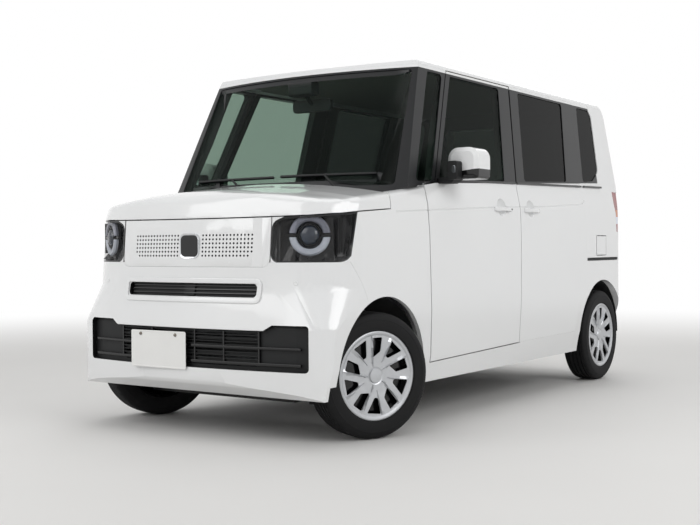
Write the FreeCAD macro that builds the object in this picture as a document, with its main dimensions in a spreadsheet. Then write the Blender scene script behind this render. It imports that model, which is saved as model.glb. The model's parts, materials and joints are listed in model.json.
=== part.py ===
import FreeCAD, Part
import Sketcher
import math
import os
from FreeCAD import Vector, Rotation, Placement

# A tall five-door kei car, in millimetres.
# +Z is up, the front faces -Y and the car's left side is +X.
# The origin is on the ground under the middle of the bounding box.

document = FreeCAD.newDocument("KeiCar")
sheet = document.addObject("Spreadsheet::Sheet", "Sizes")


class Size:
    """A number together with the sheet formula that gives it."""

    def __init__(self, value, text):
        self.value = float(value)
        self.text = text

    def joined(self, other, sign, value):
        return Size(value, "(%s %s %s)" % (self.text, sign, formula(other)))

    def __add__(self, other):
        return self.joined(other, "+", self.value + float(other))

    def __radd__(self, other):
        return self + other

    def __sub__(self, other):
        return self.joined(other, "-", self.value - float(other))

    def __rsub__(self, other):
        return -self + other

    def __mul__(self, other):
        return self.joined(other, "*", self.value * float(other))

    def __rmul__(self, other):
        return self * other

    def __truediv__(self, other):
        return self.joined(other, "/", self.value / float(other))

    def __neg__(self):
        return Size(-self.value, "(-%s)" % self.text)

    def __float__(self):
        return self.value


def formula(size):
    """The text that binds a property to a size or a plain number."""
    return size.text if isinstance(size, Size) else repr(float(size))


class Sheet:
    """Every driving size, as an attribute with the name of its cell."""

    def __init__(self, table):
        for row, (alias, value) in enumerate(table.items(), 1):
            sheet.set("A%d" % row, alias)
            sheet.set("B%d" % row, str(value))
            sheet.setAlias("B%d" % row, alias)
            setattr(self, alias, Size(value, "Sizes." + alias))
        document.recompute()


sizes = {
    # Whole car
    "half_length": 1697.5,
    "half_width": 737.5,
    "roof_height": 1790,
    "under_height": 205,
    "front_axle_place": 1195,
    "wheelbase": 2520,
    "half_track": 652.5,
    # Gaps, walls and cuts
    "panel_gap": 5,
    "seat_gap": 0.3,
    "skin": 20,
    "overrun": 60,
    "door_wall": 62,
    "pillar_wall": 40,
    "roof_wall": 26,
    "glass_wall": 5,
    # Body section, from the sill to the roof
    "sill_reach": 700,
    "rocker_reach": 726,
    "rocker_height": 330,
    "flank_low_height": 540,
    "flank_top_height": 900,
    "shoulder_reach": 731,
    "shoulder_height": 1040,
    "belt_reach": 708,
    "belt_height": 1150,
    "rail_reach": 620,
    "rail_height": 1742,
    "rail_round": 45,
    "crown_reach": 545,
    "crown_height": 1764,
    # Body plan, front and rear corners
    "nose_reach": 590,
    "nose_setback": 50,
    "nose_corner_setback": 92,
    "nose_round": 90,
    "face_reach": 470,
    "face_setback": 30,
    "face_corner_setback": 98,
    "face_round": 250,
    "face_rake_run": 92,
    "shelf_low_height": 500,
    "shelf_top_height": 670,
    "shelf_depth": 38,
    "tail_reach": 600,
    "tail_setback": 28,
    "tail_corner_setback": 50,
    "tail_round": 90,
    # Nose side outline
    "chin_setback": 90,
    "chin_height": 262,
    "chin_round": 60,
    "bumper_top_height": 600,
    "brow_setback": 40,
    "brow_height": 962,
    "lip_setback": 76,
    "lip_height": 1080,
    "lip_round": 105,
    "hood_line_setback": 300,
    "hood_line_height": 1124,
    # Hood
    "hood_rear_place": 1145,
    "hood_crown_height": 1142,
    "hood_side_height": 1093,
    "hood_side_reach": 640,
    "hood_edge_height": 1078,
    "hood_edge_round": 50,
    "hood_slope_run": 510,
    "hood_slope_drop": 58,
    "hood_wall": 20,
    "hood_seam_front_height": 956,
    "hood_seam_lamp_place": 1401,
    "hood_seam_lamp_height": 990,
    "hood_seam_rear_height": 1007,
    "hood_hinge_setback": 10,
    "hood_hinge_height": 1080,
    "hood_relief_radius": 21,
    # Windscreen and its pillars
    "screen_base_height": 1143,
    "screen_middle_place": 1085,
    "screen_corner_place": 980,
    "screen_corner_reach": 655,
    "screen_side_place": 925,
    "screen_run": 258,
    "screen_rise": 540,
    "screen_top_height": 1690,
    "screen_glass_reach": 600,
    "cowl_front_place": 1150,
    "cowl_height": 1015,
    "cowl_wall_place": 1083,
    # Roof and tail side outline
    "roof_front_place": 800,
    "roof_front_height": 1728,
    "roof_top_place": 200,
    "roof_rear_place": 1420,
    "roof_rear_height": 1762,
    "roof_tail_place": 1600,
    "roof_tail_height": 1742,
    "roof_tail_round": 130,
    "tail_belt_place": 1650,
    "tail_belt_height": 1180,
    "tail_hip_height": 760,
    "tail_low_height": 420,
    "tail_chin_setback": 45,
    "tail_chin_height": 250,
    "tail_under_setback": 110,
    # Cabin hollow
    "floor_height": 290,
    "floor_wall": 60,
    "floor_plate_wall": 30,
    "rear_floor_place": 860,
    "rear_floor_height": 430,
    "bulkhead_place": 880,
    "bulkhead_wall": 30,
    "cabin_tail_place": 1575,
    "cabin_tail_top_place": 1530,
    # Roof panel
    "roof_seam_height": 1716,
    # Front doors
    "door_front_low_place": 785,
    "door_front_low_height": 300,
    "door_front_belt_place": 818,
    "door_front_belt_height": 1128,
    "door_pillar_place": 712,
    "door_pillar_height": 1142,
    "door_pillar_top_place": 450,
    "door_rear_low_place": 152,
    "door_rear_low_height": 322,
    "door_rear_belt_place": 163,
    "door_rear_belt_height": 1176,
    "door_rear_top_place": 235,
    "door_hinge_setback": 26,
    "door_hinge_depth": 14,
    "door_relief_radius": 35,
    "door_hinge_tall": 60,
    "door_hinge_low_share": 0.2,
    "door_hinge_top_share": 0.72,
    # Sliding doors
    "slider_rear_place": 1060,
    "slider_rear_low_height": 675,
    "slider_rear_top_place": 1075,
    "slider_low_rear_place": 905,
    "slider_low_rear_height": 330,
    "upper_gap": 14,
    # Side windows
    "window_top_height": 1688,
    "window_low_rise": 10,
    "belt_rise_share": 0.0407,
    "quarter_front_place": 890,
    "quarter_front_top_place": 642,
    "quarter_rear_place": 742,
    "quarter_rear_top_place": 500,
    "window_front_place": 672,
    "window_front_top_place": 420,
    "window_rear_place": 30,
    "window_rear_top_place": 110,
    "slider_window_front_place": 275,
    "slider_window_front_top_place": 345,
    "slider_window_rear_place": 850,
    "slider_window_rear_top_place": 940,
    "tail_window_front_place": 1105,
    "tail_window_front_top_place": 1165,
    "tail_window_rear_place": 1375,
    "tail_window_rear_top_place": 1392,
    "tail_window_corner_height": 1300,
    "tail_window_round": 55,
    "window_round": 18,
    # Tailgate
    "gate_half_width": 588,
    "gate_low_half_width": 600,
    "gate_low_height": 560,
    "gate_top_place": 1500,
    "gate_hinge_setback": 45,
    "gate_hinge_depth": 37,
    "gate_relief_radius": 70,
    "gate_knuckle_width": 40,
    "gate_window_half_width": 500,
    "gate_window_low_height": 1190,
    "gate_window_top_height": 1640,
    # Front bumper, grille and lamps
    "fender_seam_low_place": 1346,
    "fender_seam_low_height": 636,
    "bumper_wall": 40,
    "panel_half_width": 432,
    "panel_low_height": 759,
    "lamp_half_width": 437,
    "lamp_low_height": 779,
    "lamp_low_place": 1445,
    "lamp_depth": 85,
    "slot_half_width": 376,
    "slot_low_height": 630,
    "slot_top_height": 688,
    "mouth_half_width": 640,
    "mouth_low_height": 323,
    "mouth_top_height": 493,
    "mouth_corner_height": 517,
    "mouth_step_reach": 470,
    "grille_wall": 12,
    "slat_thickness": 8,
    # Wheel arches
    "arch_radius": 345,
    "arch_depth": 330,
    "rear_arch_depth": 215,
    "liner_wall": 6,
    # Wheels
    "tyre_radius": 278.5,
    "tyre_half_width": 76,
    "tread_half_width": 60,
    "bead_radius": 186,
    "bead_half_width": 64,
    "bulge_radius": 235,
    "rim_radius": 185.5,
    "rim_half_width": 63,
    "rim_wall": 9,
    "cover_place": 44,
    "cover_depth": 12,
    "cover_dish": 14,
    "cover_window_inner": 78,
    "cover_window_outer": 158,
    "hub_radius": 62,
    "hub_inner_place": 8,
    # Steering
    "ball_reach": 640,
    "ball_height": 160,
    "strut_top_reach": 500,
    "strut_low_reach": 540,
    "strut_low_height": 400,
    "spring_length": 200,
    "tower_low_share": 0.66,
    "tower_high_share": 0.985,
    "wide_window_half_angle": 10,
    "slim_window_half_angle": 5.5,
    "steer_rest": -22.5,
    "knuckle_radius": 55,
    "knuckle_depth": 46,
    "kingpin_radius": 18,
    "strut_radius": 24,
    "strut_top_height": 880,
    "spring_radius": 50,
    "tower_radius": 85,
    "arm_half_width": 26,
    "arm_thickness": 26,
    "subframe_half_width": 360,
    "subframe_half_depth": 170,
    "subframe_low_height": 150,
    "subframe_top_height": 215,
    "rack_radius": 22,
    "rack_setback": 105,
    "rack_height": 262,
    "steering_wheel_reach": 330,
    "steering_wheel_place": 500,
    "steering_wheel_height": 985,
    "steering_wheel_radius": 178,
    "steering_rim_radius": 15,
    "rim_flat_share": 0.414,
    "steering_hub_radius": 62,
    "steering_hub_depth": 50,
    "column_tilt": 24,
    "column_radius": 24,
    "column_length": 220,
    # Power unit
    "engine_front_place": 1500,
    "engine_rear_place": 1060,
    "engine_low_height": 300,
    "engine_top_height": 860,
    # Rear axle
    "beam_radius": 38,
    "beam_height": 250,
    "trailing_arm_length": 420,
    "trailing_arm_radius": 26,
    "arm_bush_radius": 34,
    "arm_bush_length": 90,
    "rear_hub_radius": 55,
    "rear_spring_radius": 50,
    "rear_spring_reach": 470,
    "tank_half_width": 420,
    "tank_front_place": 150,
    "tank_rear_place": 700,
    "tank_low_height": 180,
    "muffler_radius": 70,
    "muffler_half_length": 230,
    "muffler_setback": 75,
    "muffler_height": 225,
    "pipe_radius": 20,
    "pipe_height": 170,
    "hanger_half_width": 15,
    # Dashboard and seats
    "dash_rear_place": 560,
    "dash_low_height": 700,
    "dash_round": 30,
    "dash_top_height": 1085,
    "cushion_reach": 310,
    "cushion_half_width": 245,
    "cushion_front_place": 360,
    "cushion_depth": 470,
    "cushion_low_height": 500,
    "cushion_thickness": 130,
    "back_thickness": 115,
    "back_height": 560,
    "back_lean": 14,
    "head_half_width": 130,
    "head_height": 160,
    "head_thickness": 80,
    "head_gap": 25,
    "rear_seat_offset": 880,
    "rear_seat_inset": 15,
    "rear_cushion_half_width": 290,
    "seat_base_inset": 50,
    "rear_base_depth": 240,
    # Mirrors
    "mirror_place": 668,
    "mirror_reach": 712,
    "mirror_length": 136,
    "mirror_low_height": 1172,
    "mirror_tall": 142,
    "mirror_depth": 92,
    "mirror_round": 30,
    "mirror_top_round": 55,
    "mirror_arm_height": 34,
    "mirror_arm_length": 48,
    "mirror_arm_inset": 23,
    "mirror_gap": 12,
    # Fuel lid
    "fuel_lid_place": 1300,
    "fuel_lid_height": 838,
    "fuel_lid_half_width": 74,
    "fuel_lid_half_height": 58,
    "fuel_lid_wall": 10,
    "fuel_lid_well": 38,
    "fuel_pin_radius": 4,
    # Tail lamps
    "tail_lamp_low_height": 925,
    "tail_lamp_top_height": 1180,
    "tail_lamp_place": 1560,
    # Sliding-door rail
    "rail_slot_low_height": 744,
    "rail_slot_top_height": 764,
    "rail_slot_front_place": 1075,
    "rail_slot_rear_place": 1585,
    "rail_slot_depth": 14,
}
d = Sheet(sizes)

front_axle = -d.front_axle_place
rear_axle = d.wheelbase - d.front_axle_place
nose = -d.half_length
tail = d.half_length
wheel_height = d.tyre_radius

# Directions of the three views that outlines are drawn in
side_view = Rotation(Vector(0, 1, 0), Vector(0, 0, 1), Vector(1, 0, 0), "ZXY")
front_view = Rotation(Vector(1, 0, 0), Vector(0, 0, 1), Vector(0, -1, 0), "ZXY")
plan_view = Rotation()


def bind(item, name, size):
    """Set a property from a size and keep it tied to the sheet."""
    item.setExpression(name, formula(size))


def place(item, where, turn=Rotation()):
    """Put an object at a bound place with a fixed turn."""
    item.Placement = Placement(Vector(*map(float, where)), turn)
    for axis, size in zip("xyz", where):
        if isinstance(size, Size):
            bind(item, "Placement.Base." + axis, size)
    return item


def arc_through(start, middle, end):
    """A counter-clockwise arc, and whether it runs from start to end."""
    circle = Part.Circle(start, middle, end)
    centre, radius = circle.Center, circle.Radius
    turn = (middle - start).cross(end - middle).z
    forward = turn > 0
    first, last = (start, end) if forward else (end, start)
    begin = math.atan2(first.y - centre.y, first.x - centre.x)
    finish = math.atan2(last.y - centre.y, last.x - centre.x)
    if finish <= begin:
        finish += 2 * math.pi
    flat = Part.Circle(centre, Vector(0, 0, 1), radius)
    return Part.ArcOfCircle(flat, begin, finish), forward


def outline(name, view, points, where=(0, 0, 0), body=None):
    """A closed sketch. A point (u, v) ends a line, (u, v, r) is a corner rounded
    by r, and (mu, mv, u, v) ends an arc that passes through (mu, mv). Inside a
    body the view is the role of one of its own origin planes."""
    if body is None:
        sketch = document.addObject("Sketcher::SketchObject", name)
        place(sketch, where, view)
    else:
        sketch = body.newObject("Sketcher::SketchObject", name)
        plane = [item for item in body.Origin.OriginFeatures if item.Role == view][0]
        sketch.AttachmentSupport = [(plane, "")]
        sketch.MapMode = "FlatFace"
    count = len(points)
    ends = [Vector(float(p[-2]), float(p[-1]), 0) if len(p) != 3 else
            Vector(float(p[0]), float(p[1]), 0) for p in points]
    # Where each corner's run ends and the next one starts
    arrive = list(ends)
    leave = list(ends)
    corner_arcs = {}
    for i, point in enumerate(points):
        if len(point) != 3:
            continue
        back = (ends[i - 1] - ends[i]).normalize()
        ahead = (ends[(i + 1) % count] - ends[i]).normalize()
        half = math.acos(max(-1, min(1, back.dot(ahead)))) / 2
        reach = float(point[2]) / math.tan(half)
        arrive[i] = ends[i] + back * reach
        leave[i] = ends[i] + ahead * reach
        bisector = (back + ahead).normalize()
        deep = float(point[2]) / math.sin(half) - float(point[2])
        corner_arcs[i] = arc_through(arrive[i], ends[i] + bisector * deep, leave[i])
    # One run ends at each point: a line or an arc
    runs = []
    for i, point in enumerate(points):
        start, end = leave[i - 1], arrive[i]
        if len(point) == 4:
            arc, forward = arc_through(start, Vector(float(point[0]), float(point[1]), 0), end)
            index = sketch.addGeometry(arc, False)
            runs.append((index, 1, 2) if forward else (index, 2, 1))
        else:
            runs.append((sketch.addGeometry(Part.LineSegment(start, end), False), 1, 2))
    rules = []
    bound = []

    def fix(geometry, end, u, v):
        for kind, size in (("DistanceX", u), ("DistanceY", v)):
            rules.append(Sketcher.Constraint(kind, -1, 1, geometry, end, float(size)))
            bound.append((len(rules) - 1, size))

    for i, point in enumerate(points):
        into, outof = runs[i], runs[(i + 1) % count]
        if i in corner_arcs:
            arc, forward = corner_arcs[i]
            index = sketch.addGeometry(arc, False)
            first, last = (1, 2) if forward else (2, 1)
            spot = sketch.addGeometry(Part.Point(ends[i]), True)
            fix(spot, 1, point[0], point[1])
            rules.append(Sketcher.Constraint("PointOnObject", spot, 1, into[0]))
            rules.append(Sketcher.Constraint("PointOnObject", spot, 1, outof[0]))
            rules.append(Sketcher.Constraint("Tangent", into[0], into[2], index, first))
            rules.append(Sketcher.Constraint("Tangent", index, last, outof[0], outof[1]))
            rules.append(Sketcher.Constraint("Radius", index, float(point[2])))
            bound.append((len(rules) - 1, point[2]))
        else:
            rules.append(Sketcher.Constraint("Coincident", into[0], into[2], outof[0], outof[1]))
            fix(outof[0], outof[1], point[-2], point[-1])
        if len(point) == 4:
            spot = sketch.addGeometry(Part.Point(Vector(float(point[0]), float(point[1]), 0)), True)
            fix(spot, 1, point[0], point[1])
            rules.append(Sketcher.Constraint("PointOnObject", spot, 1, into[0]))
    sketch.addConstraint(rules)
    for index, size in bound:
        if isinstance(size, Size):
            sketch.setExpression("Constraints[%d]" % index, size.text)
    return sketch


def extrude(name, sketch, ahead, behind=0, direction=None):
    """A solid swept straight from a sketch, along its normal or a direction."""
    solid = document.addObject("Part::Extrusion", name)
    solid.Base = sketch
    solid.Solid = True
    if direction is None:
        solid.DirMode = "Normal"
    else:
        solid.DirMode = "Custom"
        solid.Dir = Vector(*map(float, direction))
        for axis, size in zip("xyz", direction):
            if isinstance(size, Size):
                bind(solid, "Dir." + axis, size)
    bind(solid, "LengthFwd", ahead)
    bind(solid, "LengthRev", behind)
    return solid


def across(name, points, inner, outer):
    """A side-view outline swept from one reach to another, both along +X."""
    sketch = outline(name + "Outline", side_view, points, (inner, 0, 0))
    return extrude(name, sketch, outer - inner)


def box(name, low, high):
    solid = document.addObject("Part::Box", name)
    for side, first, last in zip(("Length", "Width", "Height"), low, high):
        bind(solid, side, last - first)
    return place(solid, low)


def cylinder(name, radius, length, where, turn=Rotation()):
    solid = document.addObject("Part::Cylinder", name)
    bind(solid, "Radius", radius)
    bind(solid, "Height", length)
    return place(solid, where, turn)


def common(name, *items):
    solid = document.addObject("Part::MultiCommon", name)
    solid.Shapes = list(items)
    return solid


def fuse(name, *items):
    solid = document.addObject("Part::MultiFuse", name)
    solid.Shapes = list(items)
    return solid


def cut(name, base, *tools):
    solid = document.addObject("Part::Cut", name)
    solid.Base = base
    solid.Tool = tools[0] if len(tools) == 1 else fuse(name + "Tools", *tools)
    return solid


def mirror(name, item):
    """The same form on the other side of the car."""
    solid = document.addObject("Part::Mirroring", name)
    solid.Source = item
    solid.Normal = Vector(1, 0, 0)
    return solid


def both(name, item):
    """A form and its mirror image, which may touch."""
    return fuse(name, item, mirror(name + "Mirror", item))


def pair(name, item):
    """A form and its mirror image as two solids of one piece."""
    solid = document.addObject("Part::Compound", name)
    solid.Links = [item, mirror(name + "Mirror", item)]
    return solid


pieces = []


def piece(label, item):
    """Name a finished sub-part, which is written as one node."""
    item.Label = label
    pieces.append(item)
    return item


along_x = Rotation(Vector(0, 1, 0), 90)
along_y = Rotation(Vector(1, 0, 0), -90)


# Outer form of the body

def body_section(name, points):
    """A symmetrical front-view outline from its right half, crowned on top."""
    crown = points[-1]
    left = [(-p[0], *p[1:]) for p in reversed(points[:-1])]
    arc = (0, crown[1], -points[-2][0], points[-2][1])
    outline_points = list(points[:-1]) + [arc] + left[1:]
    return outline(name, front_view, outline_points)


def side_section(name, inset):
    """The body's section from the sills to the roof, set in by a wall."""
    return extrude(name, body_section(name + "Outline", [
        (d.sill_reach - inset, d.under_height),
        (d.rocker_reach - inset, d.rocker_height),
        (d.half_width - inset, d.flank_low_height),
        (d.half_width - inset, d.flank_top_height),
        (d.shoulder_reach - inset, d.shoulder_height),
        (d.belt_reach - inset, d.belt_height),
        (d.rail_reach - inset, d.rail_height, d.rail_round),
        (d.crown_reach - inset, d.crown_height),
        (0, d.roof_height),
    ]), d.half_length + d.overrun, d.half_length + d.overrun)


section = side_section("BodySection", 0)


def body_plan(name, inset):
    """The body seen from above, set in by a wall all round."""
    side = d.half_width - inset
    front = nose + inset
    rear = tail - inset
    nose_end = d.nose_reach - inset
    tail_end = d.tail_reach - inset
    return extrude(name, outline(name + "Outline", plan_view, [
        (0, front, nose_end, front + d.nose_setback),
        (side, front + d.nose_corner_setback, d.nose_round),
        (side, rear - d.tail_corner_setback, d.tail_round),
        (tail_end, rear - d.tail_setback),
        (0, rear, -tail_end, rear - d.tail_setback),
        (-side, rear - d.tail_corner_setback, d.tail_round),
        (-side, front + d.nose_corner_setback, d.nose_round),
        (-nose_end, front + d.nose_setback),
    ]), d.roof_height + d.overrun)


plan = body_plan("BodyPlan", 0)


def bonnet(name, drop):
    """The crowned, forward-sloping top of the nose, let down by a wall."""
    side = d.half_width - drop
    top = [
        (side, -d.roof_height),
        (side, d.hood_edge_height - drop, d.hood_edge_round),
        (d.hood_side_reach, d.hood_side_height - drop),
        (0, d.hood_crown_height - drop),
    ]
    sketch = body_section(name + "Outline", top)
    place(sketch, (0, -d.hood_rear_place, 0), front_view)
    slope = (0, -d.hood_slope_run, -d.hood_slope_drop)
    return extrude(name, sketch, d.half_length, d.bulkhead_place / 2, slope)


def nose_side(name, inset, rear):
    """The nose seen from the side, back to a given place."""
    front = nose + inset
    return across(name, [
        (rear, d.under_height + inset),
        (front + d.chin_setback, d.under_height + inset),
        (front, d.chin_height + inset / 2, d.chin_round),
        (front, d.bumper_top_height),
        (front + d.brow_setback, d.brow_height),
        (front + d.lip_setback, d.lip_height - inset, d.lip_round),
        (front + d.hood_line_setback, d.hood_line_height - inset),
        (rear, d.roof_height),
    ], -d.half_width - d.overrun, d.half_width + d.overrun)


def nose_taper(name, inset):
    """The nose seen from above at four heights, lofted: the face over the bumper
    stands back behind a sloping shelf, leans and turns its corners more softly."""
    side = d.half_width - inset
    low = (d.nose_reach, d.nose_setback, d.nose_corner_setback, d.nose_round)
    face = (d.face_reach, d.face_setback, d.face_corner_setback, d.face_round)
    levels = [
        (0, 0, *low),
        (d.shelf_low_height, 0, *low),
        (d.shelf_top_height, d.shelf_depth, *face),
        (d.roof_height, d.shelf_depth + d.face_rake_run, *face),
    ]
    sections = []
    for height, stand_back, reach, setback, corner_setback, corner_round in levels:
        front = nose + inset + stand_back
        end = reach - inset
        sections.append(outline("%sLevel%d" % (name, len(sections)), plan_view, [
            (0, front, end, front + setback),
            (side, front + corner_setback, corner_round - inset / 2),
            (side, 0),
            (-side, 0),
            (-side, front + corner_setback, corner_round - inset / 2),
            (-end, front + setback),
        ], (0, 0, height)))
    taper = document.addObject("Part::Loft", name)
    taper.Sections = sections
    taper.Solid = True
    taper.Ruled = True
    return taper


nose_form = common("NoseForm", nose_side("NoseSide", 0, -d.bulkhead_place / 2), section,
                   nose_taper("NoseTaper", 0),
                   bonnet("Bonnet", 0))

# The windscreen's curved, raked surface and all that lies behind it
screen_slope = (0, d.screen_run, d.screen_rise)


def behind_screen(name, setback):
    sketch = outline(name + "Outline", plan_view, [
        (0, -d.screen_middle_place + setback, d.screen_corner_reach, -d.screen_corner_place + setback),
        (d.half_width + d.overrun, -d.screen_side_place + setback),
        (d.half_width + d.overrun, d.half_length * 2),
        (-d.half_width - d.overrun, d.half_length * 2),
        (-d.half_width - d.overrun, -d.screen_side_place + setback),
        (-d.screen_corner_reach, -d.screen_corner_place + setback),
    ], (0, 0, d.screen_base_height))
    return extrude(name, sketch, d.roof_height, d.belt_height, screen_slope)


cabin_side = across("CabinSide", [
    (-d.bulkhead_place, d.under_height),
    (-d.bulkhead_place, d.hood_side_height),
    (-d.cowl_front_place, d.hood_side_height),
    (-d.cowl_front_place, d.roof_front_height),
    (-d.roof_front_place, d.roof_front_height),
    (d.roof_top_place, d.roof_height, d.roof_rear_place, d.roof_rear_height),
    (d.roof_tail_place, d.roof_tail_height, d.roof_tail_round),
    (d.tail_belt_place, d.tail_belt_height),
    (tail, d.tail_hip_height),
    (tail, d.tail_low_height),
    (tail - d.tail_chin_setback, d.tail_chin_height),
    (tail - d.tail_under_setback, d.under_height),
], -d.half_width - d.overrun, d.half_width + d.overrun)

cabin_form = common("CabinForm", cabin_side, section, plan, behind_screen("BehindScreen", 0))

# The hollow that people sit in
hollow_section = extrude("HollowSection", body_section("HollowSectionOutline", [
    (d.half_width - d.door_wall, d.floor_height),
    (d.half_width - d.door_wall, d.belt_height - d.pillar_wall),
    (d.belt_reach - d.pillar_wall, d.belt_height),
    (d.rail_reach - d.pillar_wall, d.rail_height - d.pillar_wall),
    (d.crown_reach - d.pillar_wall, d.crown_height - d.roof_wall),
    (0, d.roof_height - d.roof_wall),
]), d.half_length, d.half_length)
hollow_side = across("HollowSide", [
    (-d.bulkhead_place + d.bulkhead_wall, d.floor_height),
    (-d.bulkhead_place + d.bulkhead_wall, d.hood_side_height),
    (-d.screen_middle_place, d.screen_base_height),
    (-d.screen_middle_place, d.roof_height),
    (d.cabin_tail_top_place, d.roof_height),
    (d.cabin_tail_place, d.tail_belt_height),
    (d.cabin_tail_place, d.floor_height),
], -d.half_width, d.half_width)
hollow_roof = across("HollowRoof", [
    (-d.half_length, d.under_height),
    (-d.half_length, d.roof_front_height - d.roof_wall),
    (-d.roof_front_place, d.roof_front_height - d.roof_wall),
    (d.roof_top_place, d.roof_height - d.roof_wall,
     d.roof_rear_place, d.roof_rear_height - d.roof_wall),
    (d.half_length, d.roof_rear_height - d.roof_wall),
    (d.half_length, d.under_height),
], -d.half_width, d.half_width)
hollow = common("Hollow", hollow_section, hollow_side, hollow_roof,
                behind_screen("BehindGlass", d.pillar_wall))
cabin_shell = cut("CabinShell", cabin_form, hollow)


# Outlines of the doors and windows in the side view

def belt_line(place_along):
    """The height of the window sills, which rise towards the tail."""
    return d.door_pillar_height + (place_along + d.door_pillar_place) * d.belt_rise_share


def front_door_points(gap, rear_gap):
    return [
        (-d.door_front_low_place - gap, d.door_front_low_height - gap),
        (-d.door_front_belt_place - gap, d.door_front_belt_height + gap),
        (-d.door_pillar_place - gap, d.door_pillar_height + gap),
        (-d.door_pillar_top_place - gap, d.roof_seam_height - d.panel_gap + gap),
        (d.door_rear_top_place + rear_gap, d.roof_seam_height - d.panel_gap + gap),
        (d.door_rear_belt_place + rear_gap, d.door_rear_belt_height),
        (d.door_rear_low_place + rear_gap, d.door_rear_low_height - gap),
    ]


def slider_points(gap):
    front = d.panel_gap - gap
    return [
        (d.door_rear_low_place + front, d.door_rear_low_height - gap),
        (d.door_rear_belt_place + front, d.door_rear_belt_height),
        (d.door_rear_belt_place + front + d.upper_gap - d.panel_gap,
         d.door_rear_belt_height + d.upper_gap),
        (d.door_rear_top_place + front + d.upper_gap - d.panel_gap,
         d.roof_seam_height - d.panel_gap + gap),
        (d.slider_rear_top_place + gap, d.roof_seam_height - d.panel_gap + gap),
        (d.slider_rear_place + gap, d.belt_height),
        (d.slider_rear_place + gap, d.slider_rear_low_height),
        (d.slider_low_rear_place + gap, d.slider_low_rear_height - gap),
    ]


def window_points(front, front_top, rear, rear_top, grow=0):
    corner = d.window_round
    return [
        (-front - grow, belt_line(-front) + d.window_low_rise - grow, corner),
        (-front_top - grow, d.window_top_height + grow, corner),
        (rear_top + grow, d.window_top_height + grow, corner),
        (rear + grow, belt_line(rear) + d.window_low_rise - grow, corner),
    ]


window_outlines = {
    "Quarter": (d.quarter_front_place, d.quarter_front_top_place,
                -d.quarter_rear_place, -d.quarter_rear_top_place),
    "Door": (d.window_front_place, d.window_front_top_place,
             d.window_rear_place, d.window_rear_top_place),
    "Slider": (-d.slider_window_front_place, -d.slider_window_front_top_place,
               d.slider_window_rear_place, d.slider_window_rear_top_place),
    "Tail": (-d.tail_window_front_place, -d.tail_window_front_top_place,
             d.tail_window_rear_place, d.tail_window_rear_top_place),
}

outer_side = d.half_width + d.overrun
inner_side = d.crown_reach - d.pillar_wall
window_holes = {}
window_fills = {}
for word, places in window_outlines.items():
    points = window_points(*places)
    if word == "Tail":
        points[3:] = [
            (d.tail_window_rear_place, d.tail_window_corner_height, d.tail_window_round),
            (d.tail_window_rear_place - d.arch_radius / 3,
             belt_line(d.tail_window_rear_place) + d.window_low_rise, d.tail_window_round),
        ]
        points[2] = (points[2][0], points[2][1], d.tail_window_round)
    window_holes[word] = across(word + "WindowHole", points, inner_side, outer_side)

# A thin layer midway in the wall, where the side glass sits
glass_layer = cut("GlassLayer",
                  extrude("GlassOuter", body_section("GlassOuterOutline", [
                      (d.half_width - d.skin, d.floor_height),
                      (d.half_width - d.skin, d.shoulder_height),
                      (d.belt_reach - d.glass_wall, d.belt_height),
                      (d.rail_reach - d.glass_wall, d.rail_height),
                      (d.crown_reach, d.rail_height + d.glass_wall),
                      (0, d.rail_height + d.skin),
                  ]), d.half_length, d.half_length),
                  extrude("GlassInner", body_section("GlassInnerOutline", [
                      (d.half_width - d.skin - d.glass_wall, d.floor_height - d.overrun),
                      (d.half_width - d.skin - d.glass_wall, d.shoulder_height),
                      (d.belt_reach - d.glass_wall * 2, d.belt_height),
                      (d.rail_reach - d.glass_wall * 2, d.rail_height),
                      (d.crown_reach - d.glass_wall, d.rail_height + d.glass_wall / 2),
                      (0, d.rail_height + d.glass_wall),
                  ]), d.half_length, d.half_length))

side_windows = fuse("SideWindows", *window_holes.values())

# Wheel arches


def arch(name, axle, radius, depth):
    return cylinder(name, radius, depth + d.overrun,
                    (d.half_width - depth, axle, wheel_height), along_x)


front_arch = arch("FrontArch", front_axle, d.arch_radius, d.arch_depth)
rear_arch = arch("RearArch", rear_axle, d.arch_radius, d.rear_arch_depth)
front_arches = both("FrontArches", front_arch)
rear_arches = both("RearArches", rear_arch)

# Front doors
door_blank = across("DoorBlank", front_door_points(0, 0), inner_side, outer_side)
door_opening = across("DoorOpening", front_door_points(d.panel_gap, d.upper_gap), inner_side,
                      outer_side)
slider_blank = across("SliderBlank", slider_points(0), inner_side, outer_side)
slider_opening = across("SliderOpening", slider_points(d.seat_gap), inner_side, outer_side)

door_lean_run = d.door_front_belt_place - d.door_front_low_place
door_lean_rise = d.door_front_belt_height - d.door_front_low_height
door_lean = math.degrees(math.atan2(float(door_lean_run), float(door_lean_rise)))
hinge_low = (d.half_width - d.door_hinge_depth,
             -d.door_front_low_place + d.door_hinge_setback, d.door_front_low_height)
door_relief = cylinder("DoorRelief", d.door_relief_radius, d.door_front_belt_height,
                       hinge_low, Rotation(Vector(1, 0, 0), door_lean))
door_relief_upper = common("DoorReliefKept", door_relief,
                           box("DoorReliefZone", (inner_side, nose, d.floor_height),
                               (outer_side, 0, d.belt_height)))

door_reliefs = both("DoorReliefs", door_relief_upper)
side_glass_holes = both("SideGlassHoles", side_windows)
door_openings = both("DoorOpenings", fuse("SideOpening", door_opening, slider_opening))

# Tailgate, hinged at the back of the roof
gate_hinge_place = d.gate_top_place + d.gate_hinge_setback
gate_hinge_height = d.roof_tail_height - d.gate_hinge_depth


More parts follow.
